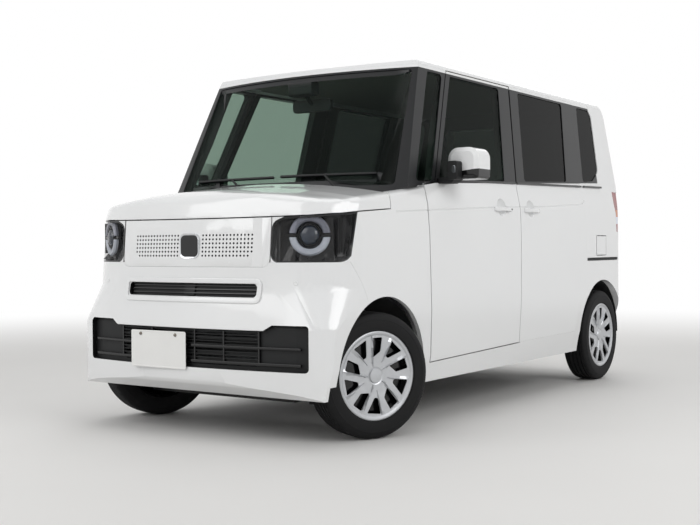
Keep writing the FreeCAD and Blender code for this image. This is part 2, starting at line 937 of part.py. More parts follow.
def gate_zone(name, gap):
    """The tail inside the gate's edge, as thick as the gate."""
    rear_face = extrude(name + "Face", outline(name + "FaceOutline", front_view, [
        (d.gate_low_half_width + gap, d.gate_low_height - gap, d.tail_round),
        (d.gate_low_half_width + gap, d.tail_belt_height),
        (d.gate_half_width + gap - d.skin, d.roof_height + gap),
        (-d.gate_half_width - gap + d.skin, d.roof_height + gap),
        (-d.gate_low_half_width - gap, d.tail_belt_height),
        (-d.gate_low_half_width - gap, d.gate_low_height - gap, d.tail_round),
    ], (0, tail + d.overrun, 0)), d.half_length)
    side_face = across(name + "Side", [
        (d.gate_top_place - gap, d.roof_height + d.overrun),
        (d.gate_top_place - gap, d.roof_tail_height - d.overrun - gap),
        (d.cabin_tail_place, d.tail_belt_height),
        (d.cabin_tail_place, d.gate_low_height - d.overrun),
        (tail + d.overrun * 2, d.gate_low_height - d.overrun),
        (tail + d.overrun * 2, d.roof_height + d.overrun),
    ], -d.half_width, d.half_width)
    return common(name, rear_face, side_face)


gate_relief = cylinder("GateRelief", d.gate_relief_radius, d.gate_half_width * 2 + d.panel_gap * 2,
                       (-d.gate_half_width - d.panel_gap, gate_hinge_place, gate_hinge_height), along_x)
gate_opening = fuse("GateOpeningWhole", gate_zone("GateOpening", d.panel_gap), gate_relief)
gate_window = extrude("GateWindow", outline("GateWindowOutline", front_view, [
    (d.gate_window_half_width, d.gate_window_low_height, d.window_round * 2),
    (d.gate_window_half_width - d.skin, d.gate_window_top_height, d.window_round * 2),
    (-d.gate_window_half_width + d.skin, d.gate_window_top_height, d.window_round * 2),
    (-d.gate_window_half_width, d.gate_window_low_height, d.window_round * 2),
], (0, tail + d.overrun, 0)), d.half_width)
gate_solid = common("GateSolid", cabin_form, gate_zone("GateZone", 0))

# Rear bumper
bumper_seam = d.gate_low_height - d.panel_gap
rear_bumper_zone = box("RearBumperZone", (-outer_side, rear_axle + d.arch_radius / 2, 0),
                       (outer_side, tail + d.overrun, bumper_seam))
rear_bumper_inner = body_plan("RearBumperInner", d.bumper_wall)
rear_bumper_core = common("RearBumperCore", rear_bumper_inner,
                          box("RearBumperCoreZone", (-outer_side, 0, d.tail_chin_height),
                              (outer_side, tail, d.roof_height)))
piece("rear_bumper", cut("RearBumper", common("RearBumperForm", cabin_form, rear_bumper_zone),
                         rear_bumper_core, rear_arches))

# Tail lamps, upright in the rear corners
tail_lamp_zone = box("TailLampZone", (d.gate_low_half_width + d.panel_gap * 2, d.tail_lamp_place,
                                      d.tail_lamp_low_height),
                     (outer_side, tail + d.overrun, d.tail_lamp_top_height))
tail_lamp = common("TailLamp", cabin_form, tail_lamp_zone)
piece("tail_lamps", pair("TailLamps", tail_lamp))

# Sliding-door rail slots and the fuel lid's well
rail_slot = box("RailSlot", (d.half_width - d.rail_slot_depth, d.rail_slot_front_place,
                             d.rail_slot_low_height),
                (outer_side, d.rail_slot_rear_place, d.rail_slot_top_height))
fuel_well = box("FuelWell", (d.half_width - d.fuel_lid_well,
                             d.fuel_lid_place - d.fuel_lid_half_width - d.panel_gap * 2,
                             d.fuel_lid_height - d.fuel_lid_half_height - d.panel_gap),
                (outer_side, d.fuel_lid_place + d.fuel_lid_half_width + d.panel_gap,
                 d.fuel_lid_height + d.fuel_lid_half_height + d.panel_gap))
fuel_lid_zone = box("FuelLidZone", (d.half_width - d.fuel_lid_wall,
                                    d.fuel_lid_place - d.fuel_lid_half_width,
                                    d.fuel_lid_height - d.fuel_lid_half_height),
                    (outer_side, d.fuel_lid_place + d.fuel_lid_half_width,
                     d.fuel_lid_height + d.fuel_lid_half_height))
fuel_pin = cylinder("FuelPin", d.fuel_pin_radius,
                    (d.fuel_lid_half_height + d.panel_gap - d.seat_gap) * 2,
                    (d.half_width - d.fuel_lid_wall / 2,
                     d.fuel_lid_place - d.fuel_lid_half_width + d.fuel_pin_radius,
                     d.fuel_lid_height - d.fuel_lid_half_height - d.panel_gap + d.seat_gap))
piece("fuel_lid", fuse("FuelLid", common("FuelLidSkin", cabin_form, fuel_lid_zone), fuel_pin))

# Windscreen opening
screen_hole = extrude("ScreenHole", outline("ScreenHoleOutline", front_view, [
    (d.screen_corner_reach, d.screen_base_height - d.window_round, d.window_round),
    (d.screen_glass_reach, d.screen_top_height, d.window_round),
    (-d.screen_glass_reach, d.screen_top_height, d.window_round),
    (-d.screen_corner_reach, d.screen_base_height - d.window_round, d.window_round),
], (0, -d.door_pillar_top_place, 0)), d.half_length)
screen_pane = extrude("ScreenPane", outline("ScreenPaneOutline", front_view, [
    (d.screen_corner_reach - d.seat_gap, d.screen_base_height - d.window_round + d.seat_gap,
     d.window_round),
    (d.screen_glass_reach - d.seat_gap, d.screen_top_height - d.seat_gap, d.window_round),
    (-d.screen_glass_reach + d.seat_gap, d.screen_top_height - d.seat_gap, d.window_round),
    (-d.screen_corner_reach + d.seat_gap, d.screen_base_height - d.window_round + d.seat_gap,
     d.window_round),
], (0, -d.door_pillar_top_place, 0)), d.half_length)
screen_layer = cut("ScreenLayer", behind_screen("ScreenFront", d.glass_wall),
                   behind_screen("ScreenBack", d.glass_wall * 2))
windscreen = common("Windscreen", screen_layer, screen_pane, plan)

# Body sides: sills, quarters, rear pillars and the bulkhead
floor_zone = box("FloorZone", (-d.half_width + d.door_wall + d.floor_wall,
                               -d.bulkhead_place + d.bulkhead_wall, 0),
                 (d.half_width - d.door_wall - d.floor_wall,
                  rear_axle + d.arch_radius / 2, d.floor_height))
fender_inner = d.belt_reach - d.skin
fender_top_height = d.hood_side_height + (
    d.hood_rear_place - d.door_front_belt_place) * d.hood_slope_drop / d.hood_slope_run


def fender_edge(name, gap):
    """The side of the nose that the fender covers, grown by a gap."""
    return across(name, [
        (-d.door_front_low_place - d.panel_gap + gap, d.door_front_low_height - gap),
        (-d.door_front_belt_place - d.panel_gap + gap, fender_top_height + gap),
        (-d.hood_rear_place + d.panel_gap, d.hood_side_height + gap),
        (-d.hood_rear_place + d.panel_gap, d.hood_seam_rear_height),
        (-d.hood_rear_place, d.hood_seam_rear_height),
        (-d.hood_seam_lamp_place + d.seat_gap, d.hood_seam_lamp_height),
        (-d.lamp_low_place + d.seat_gap, d.lamp_low_height),
        (-d.fender_seam_low_place, d.fender_seam_low_height),
        (front_axle, d.fender_seam_low_height - d.arch_radius),
        (front_axle, d.door_front_low_height - gap),
    ], fender_inner - gap, outer_side)


fender_rooms = both("FenderRooms", cut("FenderRoom", fender_edge("FenderRoomZone", d.seat_gap),
                                       common("FenderSeat",
                                              side_section("FenderSeatSection", d.skin + d.seat_gap),
                                              box("FenderSeatZone", (-outer_side, nose, d.under_height),
                                                  (outer_side, 0, d.hood_edge_height - d.hood_wall)))))
frame_arched = cut("FrameArched", cut("FrameRoomy", cabin_shell, fender_rooms), front_arches)
frame_core = cut("FrameCore", frame_arched, door_openings, side_glass_holes, door_reliefs,
                 gate_opening, rear_bumper_zone, rear_arches, both("TailLampCuts", tail_lamp_zone),
                 both("RailSlots", rail_slot), fuel_well, screen_hole, floor_zone)
roof_zone = box("RoofZone", (-outer_side, nose, d.roof_seam_height),
                (outer_side, tail, d.roof_height + d.overrun))
piece("roof_panel", common("RoofPanel", frame_core, roof_zone))
pillar_zone = across("PillarZone", [
    (-d.half_length, d.hood_side_height),
    (-d.half_length, d.roof_seam_height),
    (d.tail_window_rear_top_place - d.window_round * 2, d.roof_seam_height),
    (d.tail_window_rear_place - d.window_round * 2, belt_line(d.tail_window_rear_place)),
    (-d.door_front_belt_place - d.panel_gap, belt_line(-d.door_front_belt_place)),
    (-d.bulkhead_place, d.hood_side_height),
], -outer_side, outer_side)
below_roof = cut("BelowRoof", frame_core, roof_zone)
piece("pillar_frames", common("PillarFrames", below_roof, pillar_zone))
piece("body_sides", cut("BodySides", below_roof, pillar_zone))

# Front doors, each with two hinge knuckles in the frame's relief
knuckles = [
    cylinder(name, d.door_relief_radius - d.seat_gap, d.door_hinge_tall,
             (hinge_low[0], hinge_low[1] - door_lean_run * share, hinge_low[2] + door_lean_rise * share),
             Rotation(Vector(1, 0, 0), door_lean))
    for name, share in (("LowDoorHinge", d.door_hinge_low_share), ("TopDoorHinge", d.door_hinge_top_share))]
door_hinges = common("DoorHinges", fuse("DoorHingePair", *knuckles),
                     side_section("DoorHingeReach", d.skin))
door_body = fuse("DoorWhole", door_hinges, cut("DoorBody", common("DoorForm", cabin_shell, door_blank),
                                               window_holes["Door"]))
slider_body = cut("SliderBody", common("SliderForm", cabin_shell, slider_blank),
                  window_holes["Slider"], rear_arch)
piece("front_door_left", door_body)
piece("front_door_right", mirror("FrontDoorRight", door_body))
piece("sliding_doors", pair("SlidingDoors", slider_body))


def pane(name, word):
    """Glass that fills a window hole, a seat gap inside its edge."""
    places = window_outlines[word]
    points = window_points(*places, grow=-d.seat_gap)
    if word == "Tail":
        points[3:] = [
            (d.tail_window_rear_place - d.seat_gap, d.tail_window_corner_height, d.tail_window_round),
            (d.tail_window_rear_place - d.arch_radius / 3,
             belt_line(d.tail_window_rear_place) + d.window_low_rise + d.seat_gap,
             d.tail_window_round),
        ]
        points[2] = (points[2][0], points[2][1], d.tail_window_round)
    return common(name, glass_layer, across(name + "Zone", points, inner_side, outer_side))


door_pane = pane("DoorPane", "Door")
piece("front_glass_left", door_pane)
piece("front_glass_right", mirror("FrontGlassRight", door_pane))
fixed_panes = fuse("FixedPanes", pane("QuarterPane", "Quarter"), pane("SliderPane", "Slider"),
                   pane("TailPane", "Tail"))
fixed_glass = document.addObject("Part::Compound", "FixedGlass")
fixed_glass.Links = [windscreen, pair("FixedSideGlass", fixed_panes)]
piece("fixed_glass", fixed_glass)

# Door mirrors
mirror_inner = d.mirror_reach + d.mirror_gap
mirror_block = extrude("MirrorBlock", outline("MirrorOutline", front_view, [
    (mirror_inner, d.mirror_low_height, d.mirror_round / 2),
    (mirror_inner + d.mirror_length, d.mirror_low_height, d.mirror_round),
    (mirror_inner + d.mirror_length, d.mirror_low_height + d.mirror_tall, d.mirror_top_round),
    (mirror_inner, d.mirror_low_height + d.mirror_tall, d.mirror_top_round),
], (0, -d.mirror_place + d.mirror_depth, 0)), d.mirror_depth)
arm_front = -d.mirror_place + d.mirror_arm_inset
arm_rear = -d.mirror_place + d.mirror_depth - d.mirror_arm_inset
mirror_arm = box("MirrorArm",
                 (d.mirror_reach - d.skin, arm_front, d.mirror_low_height - d.mirror_arm_height),
                 (d.mirror_reach + d.mirror_arm_length, arm_rear, d.mirror_low_height + d.seat_gap + d.skin))
mirror_form = cut("MirrorForm", fuse("MirrorWhole", mirror_block, mirror_arm), section)
piece("door_mirror_left", mirror_form)
piece("door_mirror_right", mirror("DoorMirrorRight", mirror_form))

# Tailgate
gate_knuckle = common("GateKnuckle",
                      cylinder("GateKnuckleDisc", d.gate_relief_radius - d.seat_gap, d.gate_knuckle_width,
                               (d.gate_window_half_width + d.skin, gate_hinge_place, gate_hinge_height),
                               along_x),
                      box("GateKnuckleZone", (0, gate_hinge_place - d.gate_relief_radius,
                                              gate_hinge_height - d.gate_hinge_depth),
                          (d.half_width, gate_hinge_place, d.roof_tail_height)))
piece("tailgate", fuse("Tailgate", cut("TailgatePanel", gate_solid, gate_window),
                       both("GateKnuckles", gate_knuckle)))
gate_pane_zone = extrude("GatePaneZone", outline("GatePaneOutline", front_view, [
    (d.gate_window_half_width - d.seat_gap, d.gate_window_low_height + d.seat_gap,
     d.window_round * 2),
    (d.gate_window_half_width - d.skin - d.seat_gap, d.gate_window_top_height - d.seat_gap,
     d.window_round * 2),
    (-d.gate_window_half_width + d.skin + d.seat_gap, d.gate_window_top_height - d.seat_gap,
     d.window_round * 2),
    (-d.gate_window_half_width + d.seat_gap, d.gate_window_low_height + d.seat_gap,
     d.window_round * 2),
], (0, tail + d.overrun, 0)), d.half_width)
gate_pane_layer = across("GatePaneLayer", [
    (d.roof_tail_place - d.glass_wall, d.roof_tail_height),
    (d.roof_tail_place - d.glass_wall * 2, d.roof_tail_height),
    (d.tail_belt_place - d.glass_wall * 2, d.tail_belt_height),
    (d.tail_belt_place - d.glass_wall, d.tail_belt_height),
], -d.half_width, d.half_width)
piece("tailgate_glass", common("TailgateGlass", gate_pane_layer, gate_pane_zone))

# Nose panels, one skin thick
def nose_core(name, inset):
    """The nose's front and corners, set in by a wall."""
    return common(name, nose_side(name + "Side", inset, -d.bulkhead_place / 2),
                  nose_taper(name + "Taper", inset))


nose_inner = common("NoseInner", nose_core("NoseCore", d.skin), side_section("NoseSection", d.skin),
                    bonnet("BonnetInner", d.hood_wall))
nose_shell = cut("NoseShell", nose_form, nose_inner)
front = nose - d.overrun


def hood_seam(gap):
    """Points of the seam under the hood, from the nose to its rear corner."""
    return [
        (front, d.hood_seam_front_height + gap),
        (-d.hood_seam_lamp_place, d.hood_seam_lamp_height + gap),
        (-d.hood_rear_place, d.hood_seam_rear_height + gap),
    ]


hood_zone = across("HoodZone", hood_seam(d.panel_gap) + [
    (-d.hood_rear_place, d.belt_height * 2), (front, d.belt_height * 2)], -outer_side, outer_side)
piece("hood", common("Hood", nose_shell, hood_zone))
hood_hinge_place = -d.hood_rear_place - d.hood_hinge_setback
hood_relief = cylinder("HoodRelief", d.hood_relief_radius, outer_side * 2,
                       (-outer_side, hood_hinge_place, d.hood_hinge_height), along_x)

lamp_line = [(-d.hood_seam_lamp_place, d.hood_seam_lamp_height),
             (-d.lamp_low_place, d.lamp_low_height)]
fender = cut("Fender", common("FenderForm", nose_shell, fender_edge("FenderZone", 0)), front_arch,
             hood_relief, door_relief)
piece("front_fenders", pair("FrontFenders", fender))

panel_zone = extrude("PanelZone", outline("PanelZoneOutline", front_view, [
    (d.panel_half_width, d.panel_low_height, d.window_round * 2),
    (d.panel_half_width, d.belt_height),
    (-d.panel_half_width, d.belt_height),
    (-d.panel_half_width, d.panel_low_height, d.window_round * 2),
], (0, nose + d.half_width / 4, 0)), d.half_length)
below_hood = across("BelowHood", hood_seam(0) + [
    (-d.hood_rear_place, 0), (front, 0)], -outer_side, outer_side)
piece("grille_panel", common("GrillePanel", nose_shell, panel_zone, below_hood))

lamp_zone = across("LampZone", [
    (front, d.lamp_low_height),
    (front, d.hood_seam_front_height),
    (-d.hood_seam_lamp_place, d.hood_seam_lamp_height),
    (-d.lamp_low_place, d.lamp_low_height),
], d.lamp_half_width, outer_side)
lamp = cut("Lamp", common("LampForm", nose_form, lamp_zone), nose_taper("LampInner", d.lamp_depth))
piece("headlamps", pair("Headlamps", lamp))


def mouth_points(grow):
    half = [
        (d.mouth_half_width + grow, d.mouth_low_height - grow, d.window_round),
        (d.mouth_half_width + grow, d.mouth_corner_height + grow, d.window_round),
        (d.mouth_step_reach, d.mouth_corner_height + grow),
        (d.mouth_step_reach - d.bumper_wall, d.mouth_top_height + grow),
    ]
    return half + [(-p[0], *p[1:]) for p in reversed(half)]


def slot_points(grow):
    half = [
        (d.slot_half_width + grow, d.slot_low_height - grow, d.window_round),
        (d.slot_half_width + grow, d.slot_top_height + grow, d.window_round),
    ]
    return half + [(-p[0], *p[1:]) for p in reversed(half)]


def front_hole(name, points):
    return extrude(name, outline(name + "Outline", front_view, points,
                                 (0, nose + d.half_width / 3, 0)), d.half_length)


bumper_zone = across("BumperZone", [
    (front, 0),
    (nose + d.arch_radius / 3, 0),
    (nose + d.arch_radius / 3, d.chin_height),
    (front_axle, d.chin_height),
    (front_axle, d.fender_seam_low_height - d.arch_radius),
    (-d.fender_seam_low_place - d.seat_gap, d.fender_seam_low_height),
    (-d.lamp_low_place - d.seat_gap, d.lamp_low_height - d.seat_gap),
    (front, d.lamp_low_height - d.seat_gap),
], -outer_side, outer_side)
panel_clearance = extrude("PanelClearance", outline("PanelClearanceOutline", front_view, [
    (d.panel_half_width + d.seat_gap, d.panel_low_height - d.seat_gap, d.window_round * 2),
    (d.panel_half_width + d.seat_gap, d.belt_height),
    (-d.panel_half_width - d.seat_gap, d.belt_height),
    (-d.panel_half_width - d.seat_gap, d.panel_low_height - d.seat_gap, d.window_round * 2),
], (0, nose + d.half_width / 4, 0)), d.half_length)
piece("front_bumper", cut("FrontBumper", common("BumperForm", nose_shell, bumper_zone),
                          panel_clearance, front_hole("MouthHole", mouth_points(0)),
                          front_hole("SlotHole", slot_points(0)), front_arches))

grille_layer = cut("GrilleLayer", nose_core("GrilleFront", d.skin + d.seat_gap),
                   nose_core("GrilleBack", d.skin + d.grille_wall))
slat_gaps = 5
slats = []
slat_step = (d.mouth_top_height - d.mouth_low_height) / (2 * slat_gaps + 1)
for index in range(slat_gaps):
    low = d.mouth_low_height + slat_step * (2 * index + 1)
    slats.append(box("SlatGap%d" % index, (-d.mouth_step_reach + d.bumper_wall * 2, nose, low),
                     (d.mouth_step_reach - d.bumper_wall * 2, nose + d.half_width / 3,
                      low + d.slat_thickness * 2)))
mouth_grille = cut("MouthGrille", common("MouthPlate", grille_layer,
                                         front_hole("MouthFill", mouth_points(d.grille_wall))), *slats)
slot_grille = common("SlotPlate", grille_layer, front_hole("SlotFill", slot_points(d.grille_wall)))
piece("intake_grilles", fuse("IntakeGrilles", mouth_grille, slot_grille))

# Cowl: the trough under the wipers, from the hood's rear edge to the screen
cowl_wall = d.liner_wall
cowl_half_width = fender_inner - d.seat_gap * 2
cowl_top = d.hood_side_height - d.seat_gap
cowl_trough = across("CowlTrough", [
    (-d.cowl_front_place - d.skin, d.cowl_height),
    (-d.cowl_wall_place + cowl_wall, d.cowl_height),
    (-d.cowl_wall_place + cowl_wall, cowl_top - cowl_wall),
    (-d.bulkhead_place, cowl_top - cowl_wall),
    (-d.bulkhead_place, cowl_top),
    (-d.cowl_wall_place, cowl_top),
    (-d.cowl_wall_place, d.cowl_height + cowl_wall),
    (-d.cowl_front_place - d.skin, d.cowl_height + cowl_wall),
], -cowl_half_width, cowl_half_width)
hood_seat = common("HoodSeat", bonnet("HoodSeatTop", d.hood_wall + d.seat_gap),
                   box("HoodSeatZone", (-d.hood_side_reach, -d.cowl_front_place - d.skin, d.cowl_height),
                       (d.hood_side_reach, -d.cowl_front_place - d.skin + cowl_wall, d.roof_height)))
piece("cowl_panel", fuse("CowlPanel", cowl_trough, hood_seat))

# Floor with cross members, stepped up over the rear axle to the tailgate's sill
floor_reach = d.half_width - d.door_wall - d.floor_wall - d.seat_gap
rear_floor_reach = d.half_width - d.door_wall - d.seat_gap
floor_front = -d.bulkhead_place + d.bulkhead_wall + d.seat_gap
floor_under = d.floor_height - d.floor_plate_wall
rear_floor_under = d.rear_floor_height - d.floor_plate_wall
floor_plate = box("FloorPlate", (-floor_reach, floor_front, floor_under),
                  (floor_reach, d.rear_floor_place, d.floor_height))
rear_floor = across("RearFloor", [
    (d.rear_floor_place - d.floor_plate_wall, floor_under),
    (d.rear_floor_place, floor_under),
    (d.rear_floor_place, rear_floor_under),
    (tail, rear_floor_under),
    (tail, bumper_seam),
    (d.cabin_tail_place, bumper_seam),
    (d.cabin_tail_place, d.rear_floor_height),
    (d.rear_floor_place - d.floor_plate_wall, d.rear_floor_height),
], -rear_floor_reach, rear_floor_reach)
rear_floor_kept = cut("RearFloorKept",
                      common("RearFloorTrimmed", rear_floor,
                             body_plan("RearFloorPlan", d.bumper_wall + d.seat_gap),
                             side_section("RearFloorSection", d.door_wall + d.seat_gap)),
                      box("SillRelief", (floor_reach, 0, 0),
                          (d.half_width, tail, d.floor_height + d.seat_gap)),
                      box("SillReliefRight", (-d.half_width, 0, 0),
                          (-floor_reach, tail, d.floor_height + d.seat_gap)))
cross_members = [box(name, (-floor_reach, where, d.under_height),
                     (floor_reach, where + d.floor_wall * 2, d.floor_height))
                 for name, where in (("FrontCrossMember", -d.cushion_front_place),
                                     ("RearCrossMember", d.tank_rear_place + d.panel_gap * 2))]
piece("floor_pan", cut("FloorPan", fuse("FloorWhole", floor_plate, rear_floor_kept, *cross_members),
                       rear_arches))

# Steering geometry: a leaning axis from the lower ball joint to the strut's top
axis_low = Vector(float(d.ball_reach), float(front_axle), float(d.ball_height))
axis_top = Vector(float(d.strut_top_reach), float(front_axle), float(d.strut_top_height))
steer_lean = (axis_top - axis_low).normalize()
steer_turn = Rotation(steer_lean, float(d.steer_rest))
stub = Vector(float(d.half_track), float(front_axle), float(d.tyre_radius))


def steered_drop():
    """How far turning the wheel about the leaning axis lowers its tread."""
    moved = axis_low + steer_turn.multVec(stub - axis_low)
    spin = steer_turn.multVec(Vector(1, 0, 0))
    reach = float(d.tyre_radius) * math.sqrt(1 - spin.z ** 2)
    return reach + (float(d.tread_half_width) - float(d.skin)) * abs(spin.z) - moved.z


front_lift = steered_drop()


def steered(item, where=Vector()):
    """Place an object made straight ahead in its turned rest pose, left side."""
    item.Placement = Placement(Vector(0, 0, front_lift), steer_turn, axis_low).multiply(
        Placement(where, Rotation()))
    return item


def steered_right(item, where=Vector()):
    """The same for the right side, whose steering axis leans the other way."""
    lean = Vector(-steer_lean.x, steer_lean.y, steer_lean.z)
    turn = Rotation(lean, float(d.steer_rest))
    pivot = Vector(-axis_low.x, axis_low.y, axis_low.z)
    item.Placement = Placement(Vector(0, 0, front_lift), turn, pivot).multiply(
        Placement(where, Rotation()))
    return item


# Front rails, strut towers and the beam behind the bumper
def along_strut(name, radius, low_share, high_share):
    """A cylinder along the steering axis between two shares of its length."""
    run = (axis_top - axis_low)
    low = axis_low + run * float(low_share)
    solid = document.addObject("Part::Cylinder", name)
    bind(solid, "Radius", radius)
    solid.Height = run.Length * (float(high_share) - float(low_share))
    solid.Placement = Placement(low, Rotation(Vector(0, 0, 1), steer_lean))
    return solid


rail_low = d.rocker_height + d.floor_wall
rail_inner = d.subframe_half_width - d.floor_wall
rail = box("FrontRail", (rail_inner, nose + d.door_wall * 2, rail_low),
           (d.subframe_half_width, -d.bulkhead_place, rail_low + d.floor_wall))
tower = along_strut("StrutTower", d.tower_radius, d.tower_low_share, 1)
tower_well = along_strut("TowerWell", d.tower_radius - d.liner_wall, 0, d.tower_high_share)
tower_leg = box("TowerLeg", (rail_inner, front_axle - d.tower_radius, rail_low),
                (d.subframe_half_width, front_axle + d.tower_radius, d.strut_top_height))
tower_brace = box("TowerBrace", (rail_inner, front_axle - d.tower_radius,
                                 d.strut_top_height - d.liner_wall * 2),
                  (d.strut_top_reach, front_axle + d.tower_radius, d.strut_top_height))
bumper_beam = box("BumperBeam", (0, nose + d.door_wall * 2, rail_low),
                  (d.nose_reach - d.floor_wall * 2, nose + d.door_wall * 2 + d.floor_wall,
                   rail_low + d.floor_wall))
rail_side = cut("RailSide", fuse("RailWhole", rail, tower, tower_leg, tower_brace, bumper_beam),
                tower_well)
piece("front_rails", both("FrontRails", rail_side))

# Wheel-arch liners, open for the struts
def liner(name, axle, depth):
    shell = arch(name + "Shell", axle, d.arch_radius - d.seat_gap, depth - d.skin - d.overrun)
    core = arch(name + "Core", axle, d.arch_radius - d.liner_wall, depth - d.liner_wall)
    keep = box(name + "Keep", (0, nose, wheel_height), (d.half_width - d.skin * 2, tail, d.belt_height))
    return common(name, cut(name + "Ring", shell, core), keep)


strut_hole = along_strut("StrutHole", d.tower_radius + d.seat_gap, 0, 1)
liners = fuse("Liners", cut("FrontLinerOpen", liner("FrontLiner", front_axle, d.arch_depth),
                            strut_hole),
              liner("RearLiner", rear_axle, d.rear_arch_depth))
piece("arch_liners", pair("ArchLiners", liners))

# Engine and gearbox, one block between the rails
engine_reach = rail_inner - d.panel_gap * 2
engine = box("Engine", (-engine_reach, -d.engine_front_place, d.engine_low_height),
             (engine_reach, -d.engine_rear_place, d.engine_top_height))
engine_mounts = box("EngineMounts", (-rail_inner + d.seat_gap, front_axle - d.tower_radius, rail_low),
                    (rail_inner - d.seat_gap, front_axle - d.tower_radius + d.floor_wall,
                     rail_low + d.floor_wall))
piece("engine_block", fuse("EngineBlock", engine, engine_mounts))

# Subframe, lower arms and steering rack under the engine
subframe = box("Subframe", (0, front_axle - d.subframe_half_depth, d.subframe_low_height),
               (d.subframe_half_width, front_axle + d.subframe_half_depth, d.subframe_top_height))
arm = box("LowerArm", (d.subframe_half_width - d.arm_half_width, front_axle - d.arm_half_width,
                       d.subframe_low_height - d.arm_thickness),
          (d.ball_reach, front_axle + d.arm_half_width, d.subframe_low_height))
arm_eye = cylinder("ArmEye", d.arm_half_width, d.arm_thickness,
                   (d.ball_reach, front_axle, d.subframe_low_height - d.arm_thickness))
rack = cylinder("SteeringRack", d.rack_radius, d.subframe_half_width + d.floor_wall,
                (0, front_axle + d.rack_setback, d.rack_height), along_x)
rack_mount = box("RackMount", (0, front_axle + d.rack_setback - d.rack_radius, d.subframe_low_height),
                 (rail_inner, front_axle + d.rack_setback + d.rack_radius, d.rack_height))
subframe_post = box("SubframePost", (rail_inner, front_axle + d.rack_setback, d.subframe_low_height),
                    (d.subframe_half_width, front_axle + d.subframe_half_depth,
                     rail_low - d.seat_gap))
piece("front_subframe", both("FrontSubframe", fuse("SubframeSide", subframe, arm, arm_eye, rack,
                                                   rack_mount, subframe_post)))


# Knuckles: hub carrier, ball-joint stalk and strut, which turn with the steering
def knuckle_shape():
    hub_face = d.half_track + d.hub_inner_place - d.seat_gap
    carrier = Part.makeCylinder(float(d.knuckle_radius), float(hub_face) - float(d.ball_reach)
                                + float(d.knuckle_depth),
                                Vector(float(d.ball_reach) - float(d.knuckle_depth),
                                       float(front_axle), float(d.tyre_radius)), Vector(1, 0, 0))
    foot = (float(d.subframe_low_height + d.seat_gap) + float(d.kingpin_radius) * -steer_lean.x
            - front_lift - axis_low.z)
    stalk_low = axis_low + steer_lean * (foot / steer_lean.z)
    stalk = Part.makeCylinder(float(d.kingpin_radius), float(d.tyre_radius) - stalk_low.z, stalk_low,
                              steer_lean)
    clamp = Vector(float(d.strut_low_reach), float(front_axle), float(d.strut_low_height))
    seat = axis_top - steer_lean * float(d.liner_wall) * 3
    strut = Part.makeCylinder(float(d.strut_radius), (seat - clamp).Length, clamp, seat - clamp)
    bridge = Part.makeCylinder(float(d.strut_radius),
                               (clamp - Vector(float(d.ball_reach), clamp.y, float(d.tyre_radius))).Length,
                               Vector(float(d.ball_reach), clamp.y, float(d.tyre_radius)),
                               clamp - Vector(float(d.ball_reach), clamp.y, float(d.tyre_radius)))
    spring_run = (seat - clamp).normalize() * float(d.spring_length)
    spring = Part.makeCylinder(float(d.spring_radius), float(d.spring_length), seat - spring_run,
                               spring_run)
    return carrier.fuse([stalk, strut, bridge, spring])


knuckle_left = document.addObject("Part::Feature", "KnuckleLeft")
knuckle_left.Shape = knuckle_shape()
piece("knuckle_left", steered(knuckle_left))
knuckle_right = document.addObject("Part::Feature", "KnuckleRight")
knuckle_right.Shape = knuckle_shape().mirror(Vector(), Vector(1, 0, 0))
piece("knuckle_right", steered_right(knuckle_right))


# Wheels: a revolved tyre, and a rim with a dished cover and ten windows
def tyre_body(word):
    body = document.addObject("PartDesign::Body", "Tyre" + word)
    half = [
        (d.bead_half_width, d.bead_radius),
        (d.tyre_half_width, d.bulge_radius),
        (d.tread_half_width + d.panel_gap, d.tyre_radius - d.panel_gap),
        (d.tread_half_width - d.skin, d.tyre_radius),
    ]
    points = half + [(-reach, radius) for reach, radius in reversed(half)]
    revolve(body, "TyreTurn" + word, outline("TyreProfile" + word, "XZ_Plane", points, body=body))
    return body


def revolve(body, name, sketch):
    feature = body.newObject("PartDesign::Revolution", name)
    feature.Profile = sketch
    feature.ReferenceAxis = (sketch, ["H_Axis"])
    feature.Angle = 360
    return feature


spoke_pairs = 5


